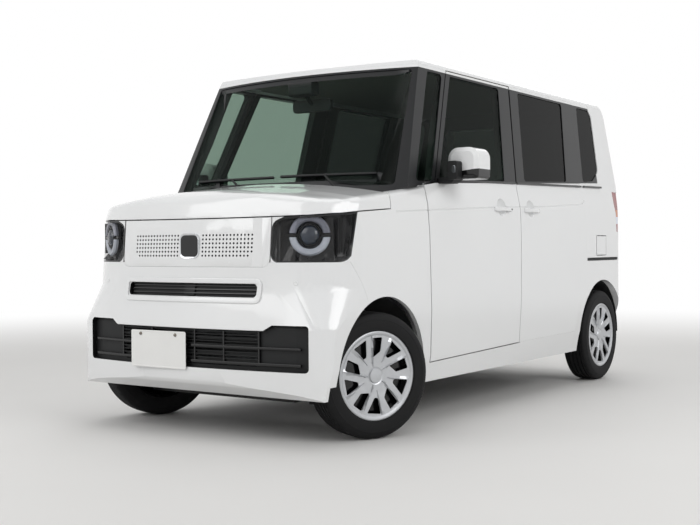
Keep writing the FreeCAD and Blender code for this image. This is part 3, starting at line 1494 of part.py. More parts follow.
def wheel_body(word, side):
    """A rim with its cover on the side that faces out."""
    body = document.addObject("PartDesign::Body", "Wheel" + word)
    inner = d.rim_radius - d.rim_wall
    lip_place = d.bead_half_width + d.seat_gap
    lip_flare = (d.tyre_half_width - d.bead_half_width) * d.rim_wall / (d.bulge_radius - d.bead_radius)
    points = [
        (d.hub_inner_place, 0),
        (d.hub_inner_place, d.hub_radius),
        (d.cover_place, d.hub_radius),
        (d.cover_place, d.cover_window_inner + d.cover_depth),
        (d.cover_place + d.cover_dish, inner - d.rim_wall),
        (d.cover_place + d.cover_dish, inner),
        (-d.rim_half_width, inner),
        (-d.rim_half_width, d.rim_radius),
        (lip_place, d.rim_radius),
        (lip_place + lip_flare, d.rim_radius + d.rim_wall),
        (lip_place + lip_flare + d.rim_wall / 2, d.rim_radius + d.rim_wall),
        (d.rim_half_width + d.rim_wall * 2 / 3, inner),
        (d.cover_place + d.cover_depth, d.cover_window_inner + d.cover_depth),
        (d.cover_place + d.cover_depth + d.rim_wall / 2, d.hub_radius),
        (d.cover_place + d.cover_depth + d.rim_wall, 0),
    ]
    if side < 0:
        points = [(-u, v) for u, v in points]
    revolve(body, "WheelTurn" + word, outline("WheelProfile" + word, "XZ_Plane", points, body=body))
    for kind, half_angle, turn in (("Wide", d.wide_window_half_angle, 0),
                                   ("Slim", d.slim_window_half_angle, 180 / spoke_pairs)):
        corners = []
        for radius, way in ((d.cover_window_inner, -1), (d.cover_window_outer, -1),
                            (d.cover_window_outer, 1), (d.cover_window_inner, 1)):
            angle = math.radians(turn + 90 + way * float(half_angle))
            corners.append((radius * math.cos(angle), radius * math.sin(angle)))
        sketch = outline("Window" + kind + word, "YZ_Plane", corners, body=body)
        pocket = body.newObject("PartDesign::Pocket", "WindowCut" + kind + word)
        pocket.Profile = sketch
        pocket.Type = "ThroughAll"
        pocket.Reversed = side > 0
        pattern = body.newObject("PartDesign::PolarPattern", "Windows" + kind + word)
        pattern.Originals = [pocket]
        pattern.Axis = (sketch, ["N_Axis"])
        pattern.Angle = 360
        pattern.Occurrences = spoke_pairs
        body.Tip = pattern
    return body


wheel_places = {}
for word, side, axle in (("front_left", 1, front_axle), ("front_right", -1, front_axle),
                         ("rear_left", 1, rear_axle), ("rear_right", -1, rear_axle)):
    camel = word.title().replace("_", "")
    hub = Vector(side * float(d.half_track), float(axle), float(d.tyre_radius))
    for label, body in (("tyre_" + word, tyre_body(camel)), ("wheel_" + word, wheel_body(camel, side))):
        if word == "front_left":
            steered(body, hub)
        elif word == "front_right":
            steered_right(body, hub)
        else:
            body.Placement = Placement(hub, Rotation())
        piece(label, body)
    wheel_places[word] = hub

# Rear axle: a twist beam on trailing arms, with springs inboard of the wheels
arm_front = rear_axle - d.trailing_arm_length
beam = cylinder("TwistBeam", d.beam_radius, d.rear_spring_reach + d.trailing_arm_radius,
                (0, rear_axle - d.trailing_arm_length / 3, d.beam_height), along_x)
trailing = cylinder("TrailingArm", d.trailing_arm_radius, d.trailing_arm_length,
                    (d.rear_spring_reach, arm_front, d.beam_height), along_y)
arm_bush = cylinder("ArmBush", d.arm_bush_radius, d.arm_bush_length,
                    (d.rear_spring_reach - d.floor_wall / 2, arm_front, d.beam_height), along_x)
rear_hub = cylinder("RearHub", d.rear_hub_radius, d.half_track + d.hub_inner_place - d.seat_gap
                    - d.rear_spring_reach, (d.rear_spring_reach, rear_axle, d.tyre_radius), along_x)
rear_spring = cylinder("RearSpring", d.rear_spring_radius, rear_floor_under - d.seat_gap - d.beam_height,
                       (d.rear_spring_reach - d.rear_spring_radius,
                        rear_axle - d.trailing_arm_length / 3, d.beam_height))
bush_post = box("BushPost", (d.rear_spring_reach - d.floor_wall / 2, arm_front - d.trailing_arm_radius,
                             d.beam_height),
                (d.rear_spring_reach + d.floor_wall, arm_front + d.trailing_arm_radius,
                 rear_floor_under - d.seat_gap))
piece("rear_axle", both("RearAxle", fuse("RearAxleSide", beam, trailing, arm_bush, rear_hub,
                                         rear_spring, bush_post)))

# Fuel tank under the floor, and the exhaust beside it
piece("fuel_tank", box("FuelTank", (-d.tank_half_width, d.tank_front_place, d.tank_low_height),
                       (d.tank_half_width, d.tank_rear_place, floor_under - d.seat_gap)))
muffler_place = rear_axle + d.muffler_setback
muffler = cylinder("Muffler", d.muffler_radius, d.muffler_half_length * 2,
                   (-d.muffler_half_length, muffler_place, d.muffler_height), along_x)
muffler_hanger = box("MufflerHanger", (-d.hanger_half_width, muffler_place - d.hanger_half_width,
                                       d.muffler_height),
                     (d.hanger_half_width, muffler_place + d.hanger_half_width,
                      rear_floor_under - d.seat_gap))
tail_pipe = cylinder("TailPipe", d.pipe_radius, tail - d.bumper_wall - muffler_place,
                     (-d.muffler_half_length + d.pipe_radius * 2, muffler_place, d.pipe_height), along_y)
piece("muffler", fuse("Exhaust", muffler, muffler_hanger, tail_pipe))

# Dashboard, from the bulkhead to the front seats
dash_reach = d.half_width - d.door_wall - d.floor_wall / 2
dash_form = across("DashForm", [
    (-d.bulkhead_place + d.bulkhead_wall + d.seat_gap, d.dash_low_height),
    (-d.bulkhead_place + d.bulkhead_wall + d.seat_gap, d.dash_top_height),
    (-d.dash_rear_place - d.bulkhead_wall, d.dash_top_height, d.dash_round),
    (-d.dash_rear_place, d.dash_top_height - d.floor_wall * 2, d.dash_round),
    (-d.dash_rear_place - d.floor_wall, d.dash_low_height, d.dash_round),
], -dash_reach, dash_reach)

# Steering wheel on its column, on the car's right
column_turn = Rotation(Vector(1, 0, 0), -90 + float(d.column_tilt))
wheel_spot = (-d.steering_wheel_reach, -d.steering_wheel_place, d.steering_wheel_height)
steering_rim = document.addObject("PartDesign::Body", "SteeringRim")
flat = d.rim_flat_share
rim_corners = [(1, flat), (flat, 1), (-flat, 1), (-1, flat), (-1, -flat), (-flat, -1), (flat, -1), (1, -flat)]
revolve(steering_rim, "SteeringRimTurn", outline("SteeringRimProfile", "XZ_Plane", [
    (d.steering_rim_radius * ahead, d.steering_wheel_radius + d.steering_rim_radius * out)
    for ahead, out in rim_corners], body=steering_rim))
place(steering_rim, wheel_spot, column_turn.multiply(Rotation(Vector(0, 1, 0), 90)))
steering_hub = document.addObject("Part::Cylinder", "SteeringHub")
bind(steering_hub, "Radius", d.steering_hub_radius)
bind(steering_hub, "Height", d.steering_hub_depth)
steering_hub.Placement = Placement(
    Vector(*map(float, wheel_spot)) - column_turn.multVec(Vector(0, 0, float(d.steering_hub_depth) / 2)),
    column_turn)
spoke = document.addObject("Part::Box", "SteeringSpoke")
bind(spoke, "Length", d.steering_wheel_radius * 2)
bind(spoke, "Width", d.steering_rim_radius * 2)
bind(spoke, "Height", d.steering_rim_radius)
spoke.Placement = Placement(
    Vector(*map(float, wheel_spot)) + column_turn.multVec(
        Vector(-float(d.steering_wheel_radius), -float(d.steering_rim_radius),
               -float(d.steering_rim_radius) / 2)), column_turn)
piece("steering_wheel", fuse("SteeringWheel", steering_rim, steering_hub, spoke))
column_run = column_turn.multVec(Vector(0, 0, 1))
column = document.addObject("Part::Cylinder", "Column")
bind(column, "Radius", d.column_radius)
bind(column, "Height", d.column_length)
column.Placement = Placement(
    Vector(*map(float, wheel_spot)) - column_run * (float(d.steering_hub_depth) / 2
                                                    + float(d.seat_gap) + float(d.column_length)),
    column_turn)
piece("dashboard", fuse("Dashboard", dash_form, column))

# Seats: plain cushions, backs and head rests on boxed frames
def seat_parts(name, reach, offset, half_width, base_depth):
    """The cushion, back and base of one seat, centred at a reach."""
    front_edge = -d.cushion_front_place + offset
    cushion = box(name + "Cushion", (reach - half_width, front_edge, d.cushion_low_height),
                  (reach + half_width, front_edge + d.cushion_depth,
                   d.cushion_low_height + d.cushion_thickness))
    back_foot = (reach - half_width, front_edge + d.cushion_depth + d.seat_gap,
                 d.cushion_low_height + d.cushion_thickness / 2)
    lean = Rotation(Vector(1, 0, 0), -float(d.back_lean))
    back = document.addObject("Part::Box", name + "Back")
    bind(back, "Length", half_width * 2)
    bind(back, "Width", d.back_thickness)
    bind(back, "Height", d.back_height)
    place(back, back_foot, lean)
    head = document.addObject("Part::Box", name + "Head")
    bind(head, "Length", d.head_half_width * 2)
    bind(head, "Width", d.head_thickness)
    bind(head, "Height", d.head_height)
    lift = lean.multVec(Vector(0, float(d.head_gap), float(d.back_height + d.seat_gap)))
    head.Placement = Placement(
        Vector(*map(float, back_foot)) + lift
        + Vector(float(half_width - d.head_half_width), 0, 0), lean)
    base = box(name + "Base", (reach - half_width + d.seat_base_inset,
                               front_edge + d.seat_base_inset, d.floor_height + d.seat_gap),
               (reach + half_width - d.seat_base_inset,
                front_edge + d.seat_base_inset + base_depth,
                d.cushion_low_height - d.seat_gap))
    return cushion, back, head, base


front_seat = seat_parts("FrontSeat", d.cushion_reach, 0, d.cushion_half_width,
                        d.cushion_depth - d.seat_base_inset * 2)
rear_seat = seat_parts("RearSeat", d.cushion_reach - d.rear_seat_inset, d.rear_seat_offset,
                       d.rear_cushion_half_width, d.rear_base_depth)
seats = fuse("SeatsLeft", *front_seat[:-1], *rear_seat[:-1])
piece("seats", pair("Seats", seats))
piece("seat_bases", pair("SeatBases", fuse("SeatBasesLeft", front_seat[-1], rear_seat[-1])))

# Every object must be sound before anything is written
document.recompute()
for item in document.Objects:
    if "Invalid" in item.State or "Error" in item.State:
        raise RuntimeError("%s failed: %s" % (item.Label, item.State))
for item in pieces:
    if item.Shape.isNull() or not item.Shape.isValid():
        raise RuntimeError("%s has no sound shape" % item.Label)
os.makedirs("parts", exist_ok=True)
for item in pieces:
    item.Shape.exportStep("parts/%s.step" % item.Label)
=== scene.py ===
import json
import math

import bpy
from mathutils import Matrix, Vector
from mathutils.bvhtree import BVHTree

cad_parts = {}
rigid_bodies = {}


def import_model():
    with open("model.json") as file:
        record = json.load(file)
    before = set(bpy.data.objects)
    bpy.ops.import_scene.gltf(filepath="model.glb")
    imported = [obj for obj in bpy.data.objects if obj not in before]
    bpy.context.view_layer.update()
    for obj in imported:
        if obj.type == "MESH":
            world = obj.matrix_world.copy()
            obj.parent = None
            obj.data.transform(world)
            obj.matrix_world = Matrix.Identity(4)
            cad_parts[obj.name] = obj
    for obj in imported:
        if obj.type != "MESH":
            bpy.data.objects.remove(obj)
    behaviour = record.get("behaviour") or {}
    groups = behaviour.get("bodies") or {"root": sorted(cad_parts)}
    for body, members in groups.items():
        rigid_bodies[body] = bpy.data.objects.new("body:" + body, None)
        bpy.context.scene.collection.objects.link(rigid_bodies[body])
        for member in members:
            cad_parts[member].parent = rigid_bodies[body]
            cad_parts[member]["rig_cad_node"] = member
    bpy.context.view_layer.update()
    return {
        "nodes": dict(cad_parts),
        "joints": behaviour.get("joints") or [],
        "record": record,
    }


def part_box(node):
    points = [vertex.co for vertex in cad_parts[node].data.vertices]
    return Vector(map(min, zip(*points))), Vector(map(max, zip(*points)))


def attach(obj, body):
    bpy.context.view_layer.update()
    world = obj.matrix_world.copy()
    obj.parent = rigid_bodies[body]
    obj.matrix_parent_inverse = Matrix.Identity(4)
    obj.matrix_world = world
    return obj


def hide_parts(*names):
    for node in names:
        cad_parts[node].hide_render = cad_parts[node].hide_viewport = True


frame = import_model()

# A white kei car. Metres, +Z up, the front faces -Y and the car's left side is +X.
nodes = frame["nodes"]
record = frame["record"]
body_of = {node: body for body, members in record["behaviour"]["bodies"].items()
           for node in members}
joint_of = {joint["child"]: joint for joint in frame["joints"]}
ahead = Vector((0, -1, 0))
outward = Vector((1, 0, 0))
upward = Vector((0, 0, 1))


# Tools

def only(piece):
    """Selects one piece and nothing else."""
    bpy.ops.object.select_all(action="DESELECT")
    piece.select_set(True)
    bpy.context.view_layer.objects.active = piece


def settle(piece):
    """Moves a piece's place into its mesh."""
    only(piece)
    bpy.ops.object.transform_apply(location=True, rotation=True, scale=True)
    return piece


def start(name, operator, stretch=(1, 1, 1), **settings):
    """Adds a primitive at its size and place."""
    bpy.ops.object.select_all(action="DESELECT")
    operator(**settings)
    piece = bpy.context.active_object
    piece.name = name
    piece.scale = stretch
    return settle(piece)


def block(name, low, high):
    """A block between two corners."""
    low, high = Vector(low), Vector(high)
    return start(name, bpy.ops.mesh.primitive_cube_add, high - low, size=1,
                 location=(low + high) / 2)


def rod(name, first, last, radius, sides=24, tip=None):
    """A round bar from one point to another, narrowed at its tip if asked."""
    first, last = Vector(first), Vector(last)
    run = last - first
    return start(name, bpy.ops.mesh.primitive_cone_add, vertices=sides, radius1=radius,
                 radius2=radius if tip is None else tip, depth=run.length,
                 location=(first + last) / 2, rotation=run.to_track_quat("Z", "Y").to_euler())


def every(place, normal):
    return True


def lies_along(axis):
    """A test for the edges that run along one axis."""
    return lambda place, run: abs(run[axis]) > 0.9


def shape(piece, test, *jobs, kind="FACE"):
    """Selects what passes a test of place and direction, and runs operators on it."""
    only(piece)
    mesh = piece.data
    bpy.ops.object.mode_set(mode="EDIT")
    bpy.ops.mesh.select_mode(type=kind)
    bpy.ops.mesh.select_all(action="DESELECT")
    bpy.ops.object.mode_set(mode="OBJECT")
    if kind == "FACE":
        for face in mesh.polygons:
            face.select = test(face.center, face.normal)
    elif kind == "EDGE":
        for edge in mesh.edges:
            ends = [mesh.vertices[i].co for i in edge.vertices]
            edge.select = test((ends[0] + ends[1]) / 2, (ends[1] - ends[0]).normalized())
    else:
        for vertex in mesh.vertices:
            vertex.select = test(vertex.co, vertex.normal)
    bpy.ops.object.mode_set(mode="EDIT")
    for operator, settings in jobs:
        operator(**settings)
    bpy.ops.object.mode_set(mode="OBJECT")
    return piece


def edit(piece, test, operator, kind="FACE", **settings):
    """Runs one operator on what passes a test."""
    return shape(piece, test, (operator, settings), kind=kind)


def inset(width):
    return bpy.ops.mesh.inset, {"thickness": width}


def shift(*way):
    return bpy.ops.transform.translate, {"value": way}


def pull(*way):
    return bpy.ops.mesh.extrude_region_move, {"TRANSFORM_OT_translate": {"value": way}}


def split(piece, place, normal):
    """Cuts a piece's faces along a plane, without parting them."""
    return edit(piece, every, bpy.ops.mesh.bisect, plane_co=place, plane_no=normal)


def modify(piece, kind, **settings):
    """Adds a modifier and applies it."""
    only(piece)
    modifier = piece.modifiers.new(kind, kind)
    for setting, value in settings.items():
        setattr(modifier, setting, value)
    bpy.ops.object.modifier_apply(modifier=modifier.name)
    return piece


def smooth(piece, angle=35):
    only(piece)
    bpy.ops.object.shade_smooth_by_angle(angle=math.radians(angle))
    return piece


def ease(piece, width, segments=2, angle=32):
    """Rounds the sharp edges and shades the faces between them smooth."""
    modify(piece, "BEVEL", width=width, segments=segments, limit_method="ANGLE",
           angle_limit=math.radians(angle), harden_normals=False)
    smooth(piece)
    return modify(piece, "WEIGHTED_NORMAL", keep_sharp=True)


def carve(piece, *cutters, crossing=False):
    """Cuts closed shapes out of a piece, and lines the cut with their finish."""
    for cutter in cutters:
        modify(piece, "BOOLEAN", operation="DIFFERENCE", object=cutter, solver="EXACT",
               material_mode="TRANSFER", use_self=crossing)
        bpy.data.objects.remove(cutter)
    return piece


def join(name, *parts):
    """Makes one piece of several."""
    bpy.ops.object.select_all(action="DESELECT")
    for part in parts:
        part.select_set(True)
    bpy.context.view_layer.objects.active = parts[0]
    bpy.ops.object.join()
    parts[0].name = name
    return parts[0]


def moved(piece, move):
    """Carries a piece along by a matrix, into its mesh."""
    piece.matrix_world = move
    settle(piece)
    if move.determinant() < 0:
        edit(piece, every, bpy.ops.mesh.normals_make_consistent, inside=False)
    return piece


def copy_of(piece, name, move=Matrix()):
    """A copy with its own mesh, moved by a matrix."""
    only(piece)
    bpy.ops.object.duplicate()
    twin = bpy.context.active_object
    twin.name = name
    return moved(twin, move)


across_car = Matrix.Scale(-1, 4, (1, 0, 0))
car_sides = ((1, "left"), (-1, "right"))


def facing(place, way, top=upward):
    """Stands a form that was built round Z on a place, and faces its top a given way."""
    way = Vector(way).normalized()
    side = Vector(top).cross(way).normalized()
    axes = Matrix((side, way.cross(side), way)).transposed().to_4x4()
    return Matrix.Translation(place) @ axes


def turned(name, rings, sides=48):
    """A round form about Z, drawn out ring by ring from one radius and height to the next."""
    radius, height = rings[0]
    piece = start(name, bpy.ops.mesh.primitive_circle_add, vertices=sides, radius=radius,
                  location=(0, 0, height))
    bpy.ops.object.mode_set(mode="EDIT")
    bpy.ops.mesh.select_mode(type="VERT")
    bpy.ops.mesh.select_all(action="SELECT")
    for (r0, h0), (r1, h1) in zip(rings, rings[1:]):
        bpy.ops.mesh.extrude_region_move(TRANSFORM_OT_translate={"value": (0, 0, h1 - h0)})
        bpy.ops.transform.resize(value=(r1 / r0, r1 / r0, 1), center_override=(0, 0, 0))
    bpy.ops.mesh.select_all(action="SELECT")
    bpy.ops.mesh.remove_doubles(threshold=1e-6)
    bpy.ops.mesh.select_all(action="SELECT")
    bpy.ops.mesh.fill_holes(sides=0)
    bpy.ops.mesh.select_all(action="SELECT")
    bpy.ops.mesh.normals_make_consistent(inside=False)
    bpy.ops.object.mode_set(mode="OBJECT")
    return smooth(piece)


def slab(name, low, high, corner, axis, edge=0.0, segments=4):
    """A block with its corners rounded about one axis, and its edges eased."""
    piece = block(name, low, high)
    edit(piece, lies_along(axis), bpy.ops.mesh.bevel, "EDGE", offset=corner, segments=segments)
    return ease(piece, edge) if edge else smooth(piece)


off_edge = 0.00013


def sheet(name, target, low, high, way, stand, corner=0.0, soft=0.0015, cuts=21, frame_width=0.0):
    """A strip, or a frame, pressed on to a surface along the car's length and thickened
    outwards. The corners are x and z, and way is -1 at the front and 1 at the rear. It
    starts a hair off the centre, since a ray along a triangle's edge finds no face."""
    low, high = [value + off_edge for value in low], [value + off_edge for value in high]
    piece = start(name, bpy.ops.mesh.primitive_plane_add, (high[0] - low[0], high[1] - low[1], 1),
                  size=1, location=((low[0] + high[0]) / 2, 4 * way, (low[1] + high[1]) / 2),
                  rotation=(-way * math.pi / 2, 0, 0))
    if corner:
        edit(piece, every, bpy.ops.mesh.bevel, "VERT", affect="VERTICES", offset=corner, segments=5)
    if frame_width:
        edit(piece, every, bpy.ops.mesh.inset, thickness=frame_width)
        edit(piece, lambda place, normal: abs(place.x - (low[0] + high[0]) / 2) < 1e-4
             and abs(place.z - (low[1] + high[1]) / 2) < 1e-4, bpy.ops.mesh.delete, type="FACE")
    for step in range(1, cuts):
        x = low[0] + (high[0] - low[0]) * step / cuts
        split(piece, (x, 0, 0), (1, 0, 0))
    modify(piece, "SHRINKWRAP", target=target, wrap_method="PROJECT", use_project_y=True,
           use_positive_direction=way < 0, use_negative_direction=way > 0)
    modify(piece, "SOLIDIFY", thickness=stand, offset=1)
    return ease(piece, soft) if soft else smooth(piece)


def dressed(node, name=None):
    """A copy of a CAD node with its loose triangles merged into whole faces."""
    only(nodes[node])
    bpy.ops.object.duplicate()
    piece = bpy.context.active_object
    piece.name = name or node + "_skin"
    del piece["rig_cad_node"]
    piece.parent = None
    edit(piece, every, bpy.ops.mesh.remove_doubles, "VERT", threshold=1e-5)
    edit(piece, every, bpy.ops.mesh.dissolve_limited, angle_limit=math.radians(0.6))
    return piece


def coat(piece, finish, *others):
    """Gives a piece its finish, and other finishes to the faces that pass their tests."""
    piece.data.materials.clear()
    for item in [finish] + [other for test, other in others]:
        piece.data.materials.append(item)
    for face in piece.data.polygons:
        face.material_index = 0
        for index, (test, other) in enumerate(others, 1):
            if test(face.center, face.normal):
                face.material_index = index
    return piece


def mount(piece, body, slot, *replaced):
    """Ties a finished piece to its body, and hides the CAD nodes it stands for. The slot is not used."""
    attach(piece, body)
    if replaced:
        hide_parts(*replaced)
    return piece


def fit(piece, finish, body="body", slot="black_plastic", *replaced):
    """Coats a piece with one finish and ties it to its body."""
    return mount(coat(piece, finish), body, slot, *replaced)


def twins(piece, name, body="body", slot="black_plastic", *replaced):
    """Ties a finished piece to the left side, and its mirror image to the right."""
    for side, move in (("left", Matrix()), ("right", across_car)):
        twin = copy_of(piece, name + "_" + side, move)
        mount(twin, body.replace("left", side), slot, *[node.replace("left", side) for node in replaced])
    bpy.data.objects.remove(piece)


def surface(node, origin, direction):
    """Where a ray meets a CAD node, and the surface's normal there."""
    mesh = nodes[node].data
    tree = BVHTree.FromPolygons([v.co for v in mesh.vertices], [p.vertices for p in mesh.polygons])
    return tree.ray_cast(Vector(origin), Vector(direction))[:2]


# Finishes

def linear(colour):
    """An sRGB hex colour as linear red, green, blue and alpha."""
    channels = [int(colour[i:i + 2], 16) / 255 for i in (1, 3, 5)]
    return [c / 12.92 if c <= 0.04045 else ((c + 0.055) / 1.055) ** 2.4 for c in channels] + [1]


def add(tree, kind, inputs=(), **settings):
    """Adds a node with its settings, and links or fills its inputs."""
    made = tree.nodes.new("ShaderNode" + kind)
    for setting, value in settings.items():
        setattr(made, setting, value)
    for key, value in dict(inputs).items():
        if isinstance(value, bpy.types.NodeSocket):
            tree.links.new(value, made.inputs[key])
        else:
            made.inputs[key].default_value = value
    return made


def finish(name, light, dark, patch, grain, relief, rough=(0.3, 0.4), detail=3, pattern=None,
           **shader):
    """A surface whose colour and gloss drift over patches of one size, with a fine
    relief of another. Sizes are in metres."""
    material = bpy.data.materials.new(name)
    material.use_nodes = True
    tree = material.node_tree
    tree.nodes.clear()
    place = add(tree, "TexCoord").outputs["Object"]
    drift = add(tree, "TexNoise", {"Vector": place, "Scale": 1 / patch, "Detail": detail})
    tone = add(tree, "Mix", {0: drift.outputs["Fac"], 6: linear(dark), 7: linear(light)},
               data_type="RGBA")
    gloss = add(tree, "MapRange", {"Value": drift.outputs["Fac"], "To Min": rough[0],
                                   "To Max": rough[1]})
    if pattern is None:
        height = add(tree, "TexNoise", {"Vector": place, "Scale": 1 / grain, "Detail": 2}).outputs["Fac"]
    else:
        height = pattern(tree, place, grain)
    bump = add(tree, "Bump", {"Height": height, "Distance": relief, "Strength": 0.6})
    settings = {"Base Color": tone.outputs[2], "Roughness": gloss.outputs["Result"],
                "Normal": bump.outputs["Normal"]}
    settings.update(shader)
    body = add(tree, "BsdfPrincipled", settings)
    add(tree, "OutputMaterial", {"Surface": body.outputs["BSDF"]})
    return material


def pits(tree, place, size):
    """Round grains side by side, as a tool's etched skin leaves on plastic."""
    return add(tree, "TexVoronoi", {"Vector": place, "Scale": 1 / size}).outputs["Distance"]


def weave(tree, place, size):
    """Two crossed sets of threads."""
    sets = []
    for direction in ("X", "Z"):
        wave = add(tree, "TexWave", {"Vector": place, "Scale": 1 / (size * 2 * math.pi),
                                     "Distortion": 0.4}, bands_direction=direction)
        sets.append(wave.outputs["Fac"])
    return add(tree, "Math", {0: sets[0], 1: sets[1]}, operation="MAXIMUM").outputs["Value"]


# Sprayed enamel under clear lacquer: a bright white with a wet, even shine
paint = finish("white_enamel", "#e9eaea", "#e5e6e7", 0.5, 0.03, 0.00002, (0.22, 0.26),
               **{"Coat Weight": 0.8, "Coat Roughness": 0.04, "IOR": 1.5})
# Cast vinyl film on the pillars: near black with a soft sheen
film = finish("black_film", "#17181a", "#121315", 0.3, 0.02, 0.00003, (0.28, 0.36),
              **{"Specular IOR Level": 0.3})
# Moulded ABS straight from the tool: charcoal, its grain drawn at 3 mm so that it shows
grained = finish("grained_black_abs", "#18191a", "#111213", 0.08, 0.003, 0.0001, (0.5, 0.62),
                 pattern=pits, **{"Specular IOR Level": 0.3})
# Polished ABS: deep black that mirrors the lamps
gloss_black = finish("gloss_black_abs", "#0d0d0f", "#09090a", 0.1, 0.02, 0.00001, (0.08, 0.14))
# Vulcanised rubber: dull black, greyer where it has weathered
rubber = finish("tyre_rubber", "#1b1b1c", "#101011", 0.03, 0.0012, 0.0001, (0.6, 0.75),
                **{"Specular IOR Level": 0.2})
# ABS with silver lacquer: a cool metal look with fine flake
silver = finish("silver_lacquered_abs", "#c4c6c9", "#b6b8bb", 0.02, 0.0015, 0.00002, (0.3, 0.38),
                **{"Metallic": 0.55, "Coat Weight": 0.3, "Coat Roughness": 0.1})
# Chromed ABS
chrome = finish("chromed_abs", "#d9dadc", "#c9cbce", 0.05, 0.02, 0.00001, (0.06, 0.1), Metallic=1.0)
# Woven polyester over foam: dark grey, its thread drawn at 5 mm so that it shows
tricot = finish("seat_tricot", "#3a3a3d", "#2e2e31", 0.06, 0.005, 0.0003, (0.85, 0.95),
                pattern=weave, **{"Sheen Weight": 0.2, "Sheen Roughness": 0.4})
# Moulded polypropylene panels inside the cabin: matt grey with a soft mottle
trim = finish("cabin_trim", "#48484a", "#404043", 0.15, 0.008, 0.00006, (0.6, 0.7))
# Needled felt on the roof's underside
headliner = finish("headliner_felt", "#9b9893", "#8d8a86", 0.05, 0.006, 0.0001, (0.9, 0.95))
# Wax and stone-chip coat under the floor
chassis = finish("chassis_coat", "#242424", "#181717", 0.06, 0.004, 0.0006, (0.6, 0.75))
# Sand-cast alloy
cast = finish("cast_aluminium", "#8b8c8e", "#727375", 0.04, 0.003, 0.0004, (0.5, 0.62), Metallic=0.8)
# Aluminised steel, browned by heat in patches
steel = finish("aluminised_steel", "#8a8680", "#6f665c", 0.12, 0.002, 0.0001, (0.38, 0.5), Metallic=0.9)
# Silvered glass of the door mirrors
silvered = finish("silvered_glass", "#c8cdd1", "#c2c8cc", 0.2, 0.05, 0.00001, (0.02, 0.03), Metallic=1.0)
# Painted sheet aluminium for the plate
plate_white = finish("plate_enamel", "#eeeeec", "#e8e8e6", 0.1, 0.003, 0.00002, (0.35, 0.42))


def clear(name, tint, colour, share):
    """Glass and lenses: light passes with a tint, and a share is mirrored by a smooth face."""
    material = finish(name, colour, colour, 0.6, 0.5, 0.00002, (0.02, 0.04))
    tree = material.node_tree
    through = add(tree, "BsdfTransparent", {"Color": linear(tint)}).outputs["BSDF"]
    mirrored = tree.nodes["Principled BSDF"].outputs["BSDF"]
    both = add(tree, "MixShader", {0: share, 1: through, 2: mirrored})
    tree.links.new(both.outputs["Shader"], tree.nodes["Material Output"].inputs["Surface"])
    return material


# Laminated glass, nearly clear with a green cast
screen_glass = clear("laminated_glass", "#eaf1ed", "#1a211e", 0.10)
# Toughened glass with a green tint
door_glass = clear("tinted_glass", "#cfdad3", "#141b17", 0.14)
# Toughened privacy glass, almost black
privacy_glass = clear("privacy_glass", "#6f7572", "#0b0d0c", 0.3)
# Hard-coated polycarbonate
lens = clear("clear_polycarbonate", "#fafafa", "#2a2b2d", 0.10)
# Red acrylic with the light guides' ribs behind it
red_lens = finish("red_acrylic", "#9a1016", "#7a0a0f", 0.03, 0.006, 0.0002, (0.08, 0.12),
                  **{"Coat Weight": 0.6})
# Amber acrylic of the turn lamps
amber_lens = finish("amber_acrylic", "#c8681a", "#b25a12", 0.03, 0.006, 0.0002, (0.1, 0.16),
                    **{"Coat Weight": 0.6})
# Frosted light guide: a pale blue grey
guide = finish("frosted_guide", "#e2e8f3", "#ccd4e2", 0.02, 0.004, 0.0001, (0.3, 0.4),
               **{"Coat Weight": 0.4})
# A darker copy of the guide: painted shade for the ring's upper half
painted_shade_guide = finish("painted_shade_guide", "#8f929f", "#7b7e8b", 0.02, 0.004, 0.0001, (0.3, 0.4),
                      **{"Coat Weight": 0.4})
# Ground glass of the projector: dark with a blue cast
projector = finish("projector_glass", "#37465a", "#141a22", 0.035, 0.01, 0.00002, (0.03, 0.05),
                   **{"Coat Weight": 1.0})


# Where paint, film and trim meet on the panels
belt_front_place = -0.712
belt_front_height = 1.142
belt_rise = 0.0407
rail_low_height = 1.700
panel_edge = 0.0022


def belt_height(y):
    return belt_front_height + (y - belt_front_place) * belt_rise


def above_belt(place, normal):
    return place.z > belt_height(place.y) + 0.0005


def on_rail(place, normal):
    """True of the white roof rail over the windows."""
    return place.z > rail_low_height + 0.0002


def faces_in(place, normal):
    """True of the cabin side of a panel."""
    return normal.x * math.copysign(1, place.x) < -0.4


def faces_down(place, normal):
    return normal.z < -0.5


def faces_front(place, normal):
    return normal.y < -0.6


def faces_back(place, normal):
    return normal.y > 0.9


def faces_up(place, normal):
    return normal.z > 0.9


# The shoulder crease and the handles' hollows
handle_height = 1.033
handle_places = {"front": -0.055, "rear": 0.297}
crease_heights = ((-1.10, 0.998), (-0.807, 1.011), (-0.187, 1.038), (0.438, 1.057), (0.98, 1.084),
                  (1.045, 1.093), (1.075, 1.113))
crease_radius = 0.0034
hollow_size = (0.030, 0.052, 0.052)
hollow_out, hollow_rise = 0.007, 0.014


def flank_reach(z):
    """How far out the body's side is at a height."""
    low, high = ((0.900, 0.7375), (1.040, 0.731)) if z < 1.040 else ((1.040, 0.731), (1.150, 0.708))
    share = (z - low[0]) / (high[0] - low[0])
    return low[1] + (high[1] - low[1]) * share


def crease_cutters(side, first, last):
    """Fine grooves along the shoulder, for the panel between two places."""
    cutters = []
    for (y0, z0), (y1, z1) in zip(crease_heights, crease_heights[1:]):
        if y1 > first and y0 < last:
            groove = rod("crease", (side * flank_reach(z0), y0, z0), (side * flank_reach(z1), y1, z1),
                         crease_radius, sides=8)
            cutters.append(coat(groove, paint))
    return cutters


def handle_hollow(side, y):
    """The hollow for the fingers above each handle."""
    hollow = start("hollow", bpy.ops.mesh.primitive_uv_sphere_add, segments=32, ring_count=16,
                   stretch=hollow_size, radius=1,
                   location=(side * (flank_reach(handle_height) + hollow_out), y,
                             handle_height + hollow_rise))
    return coat(smooth(hollow), paint)


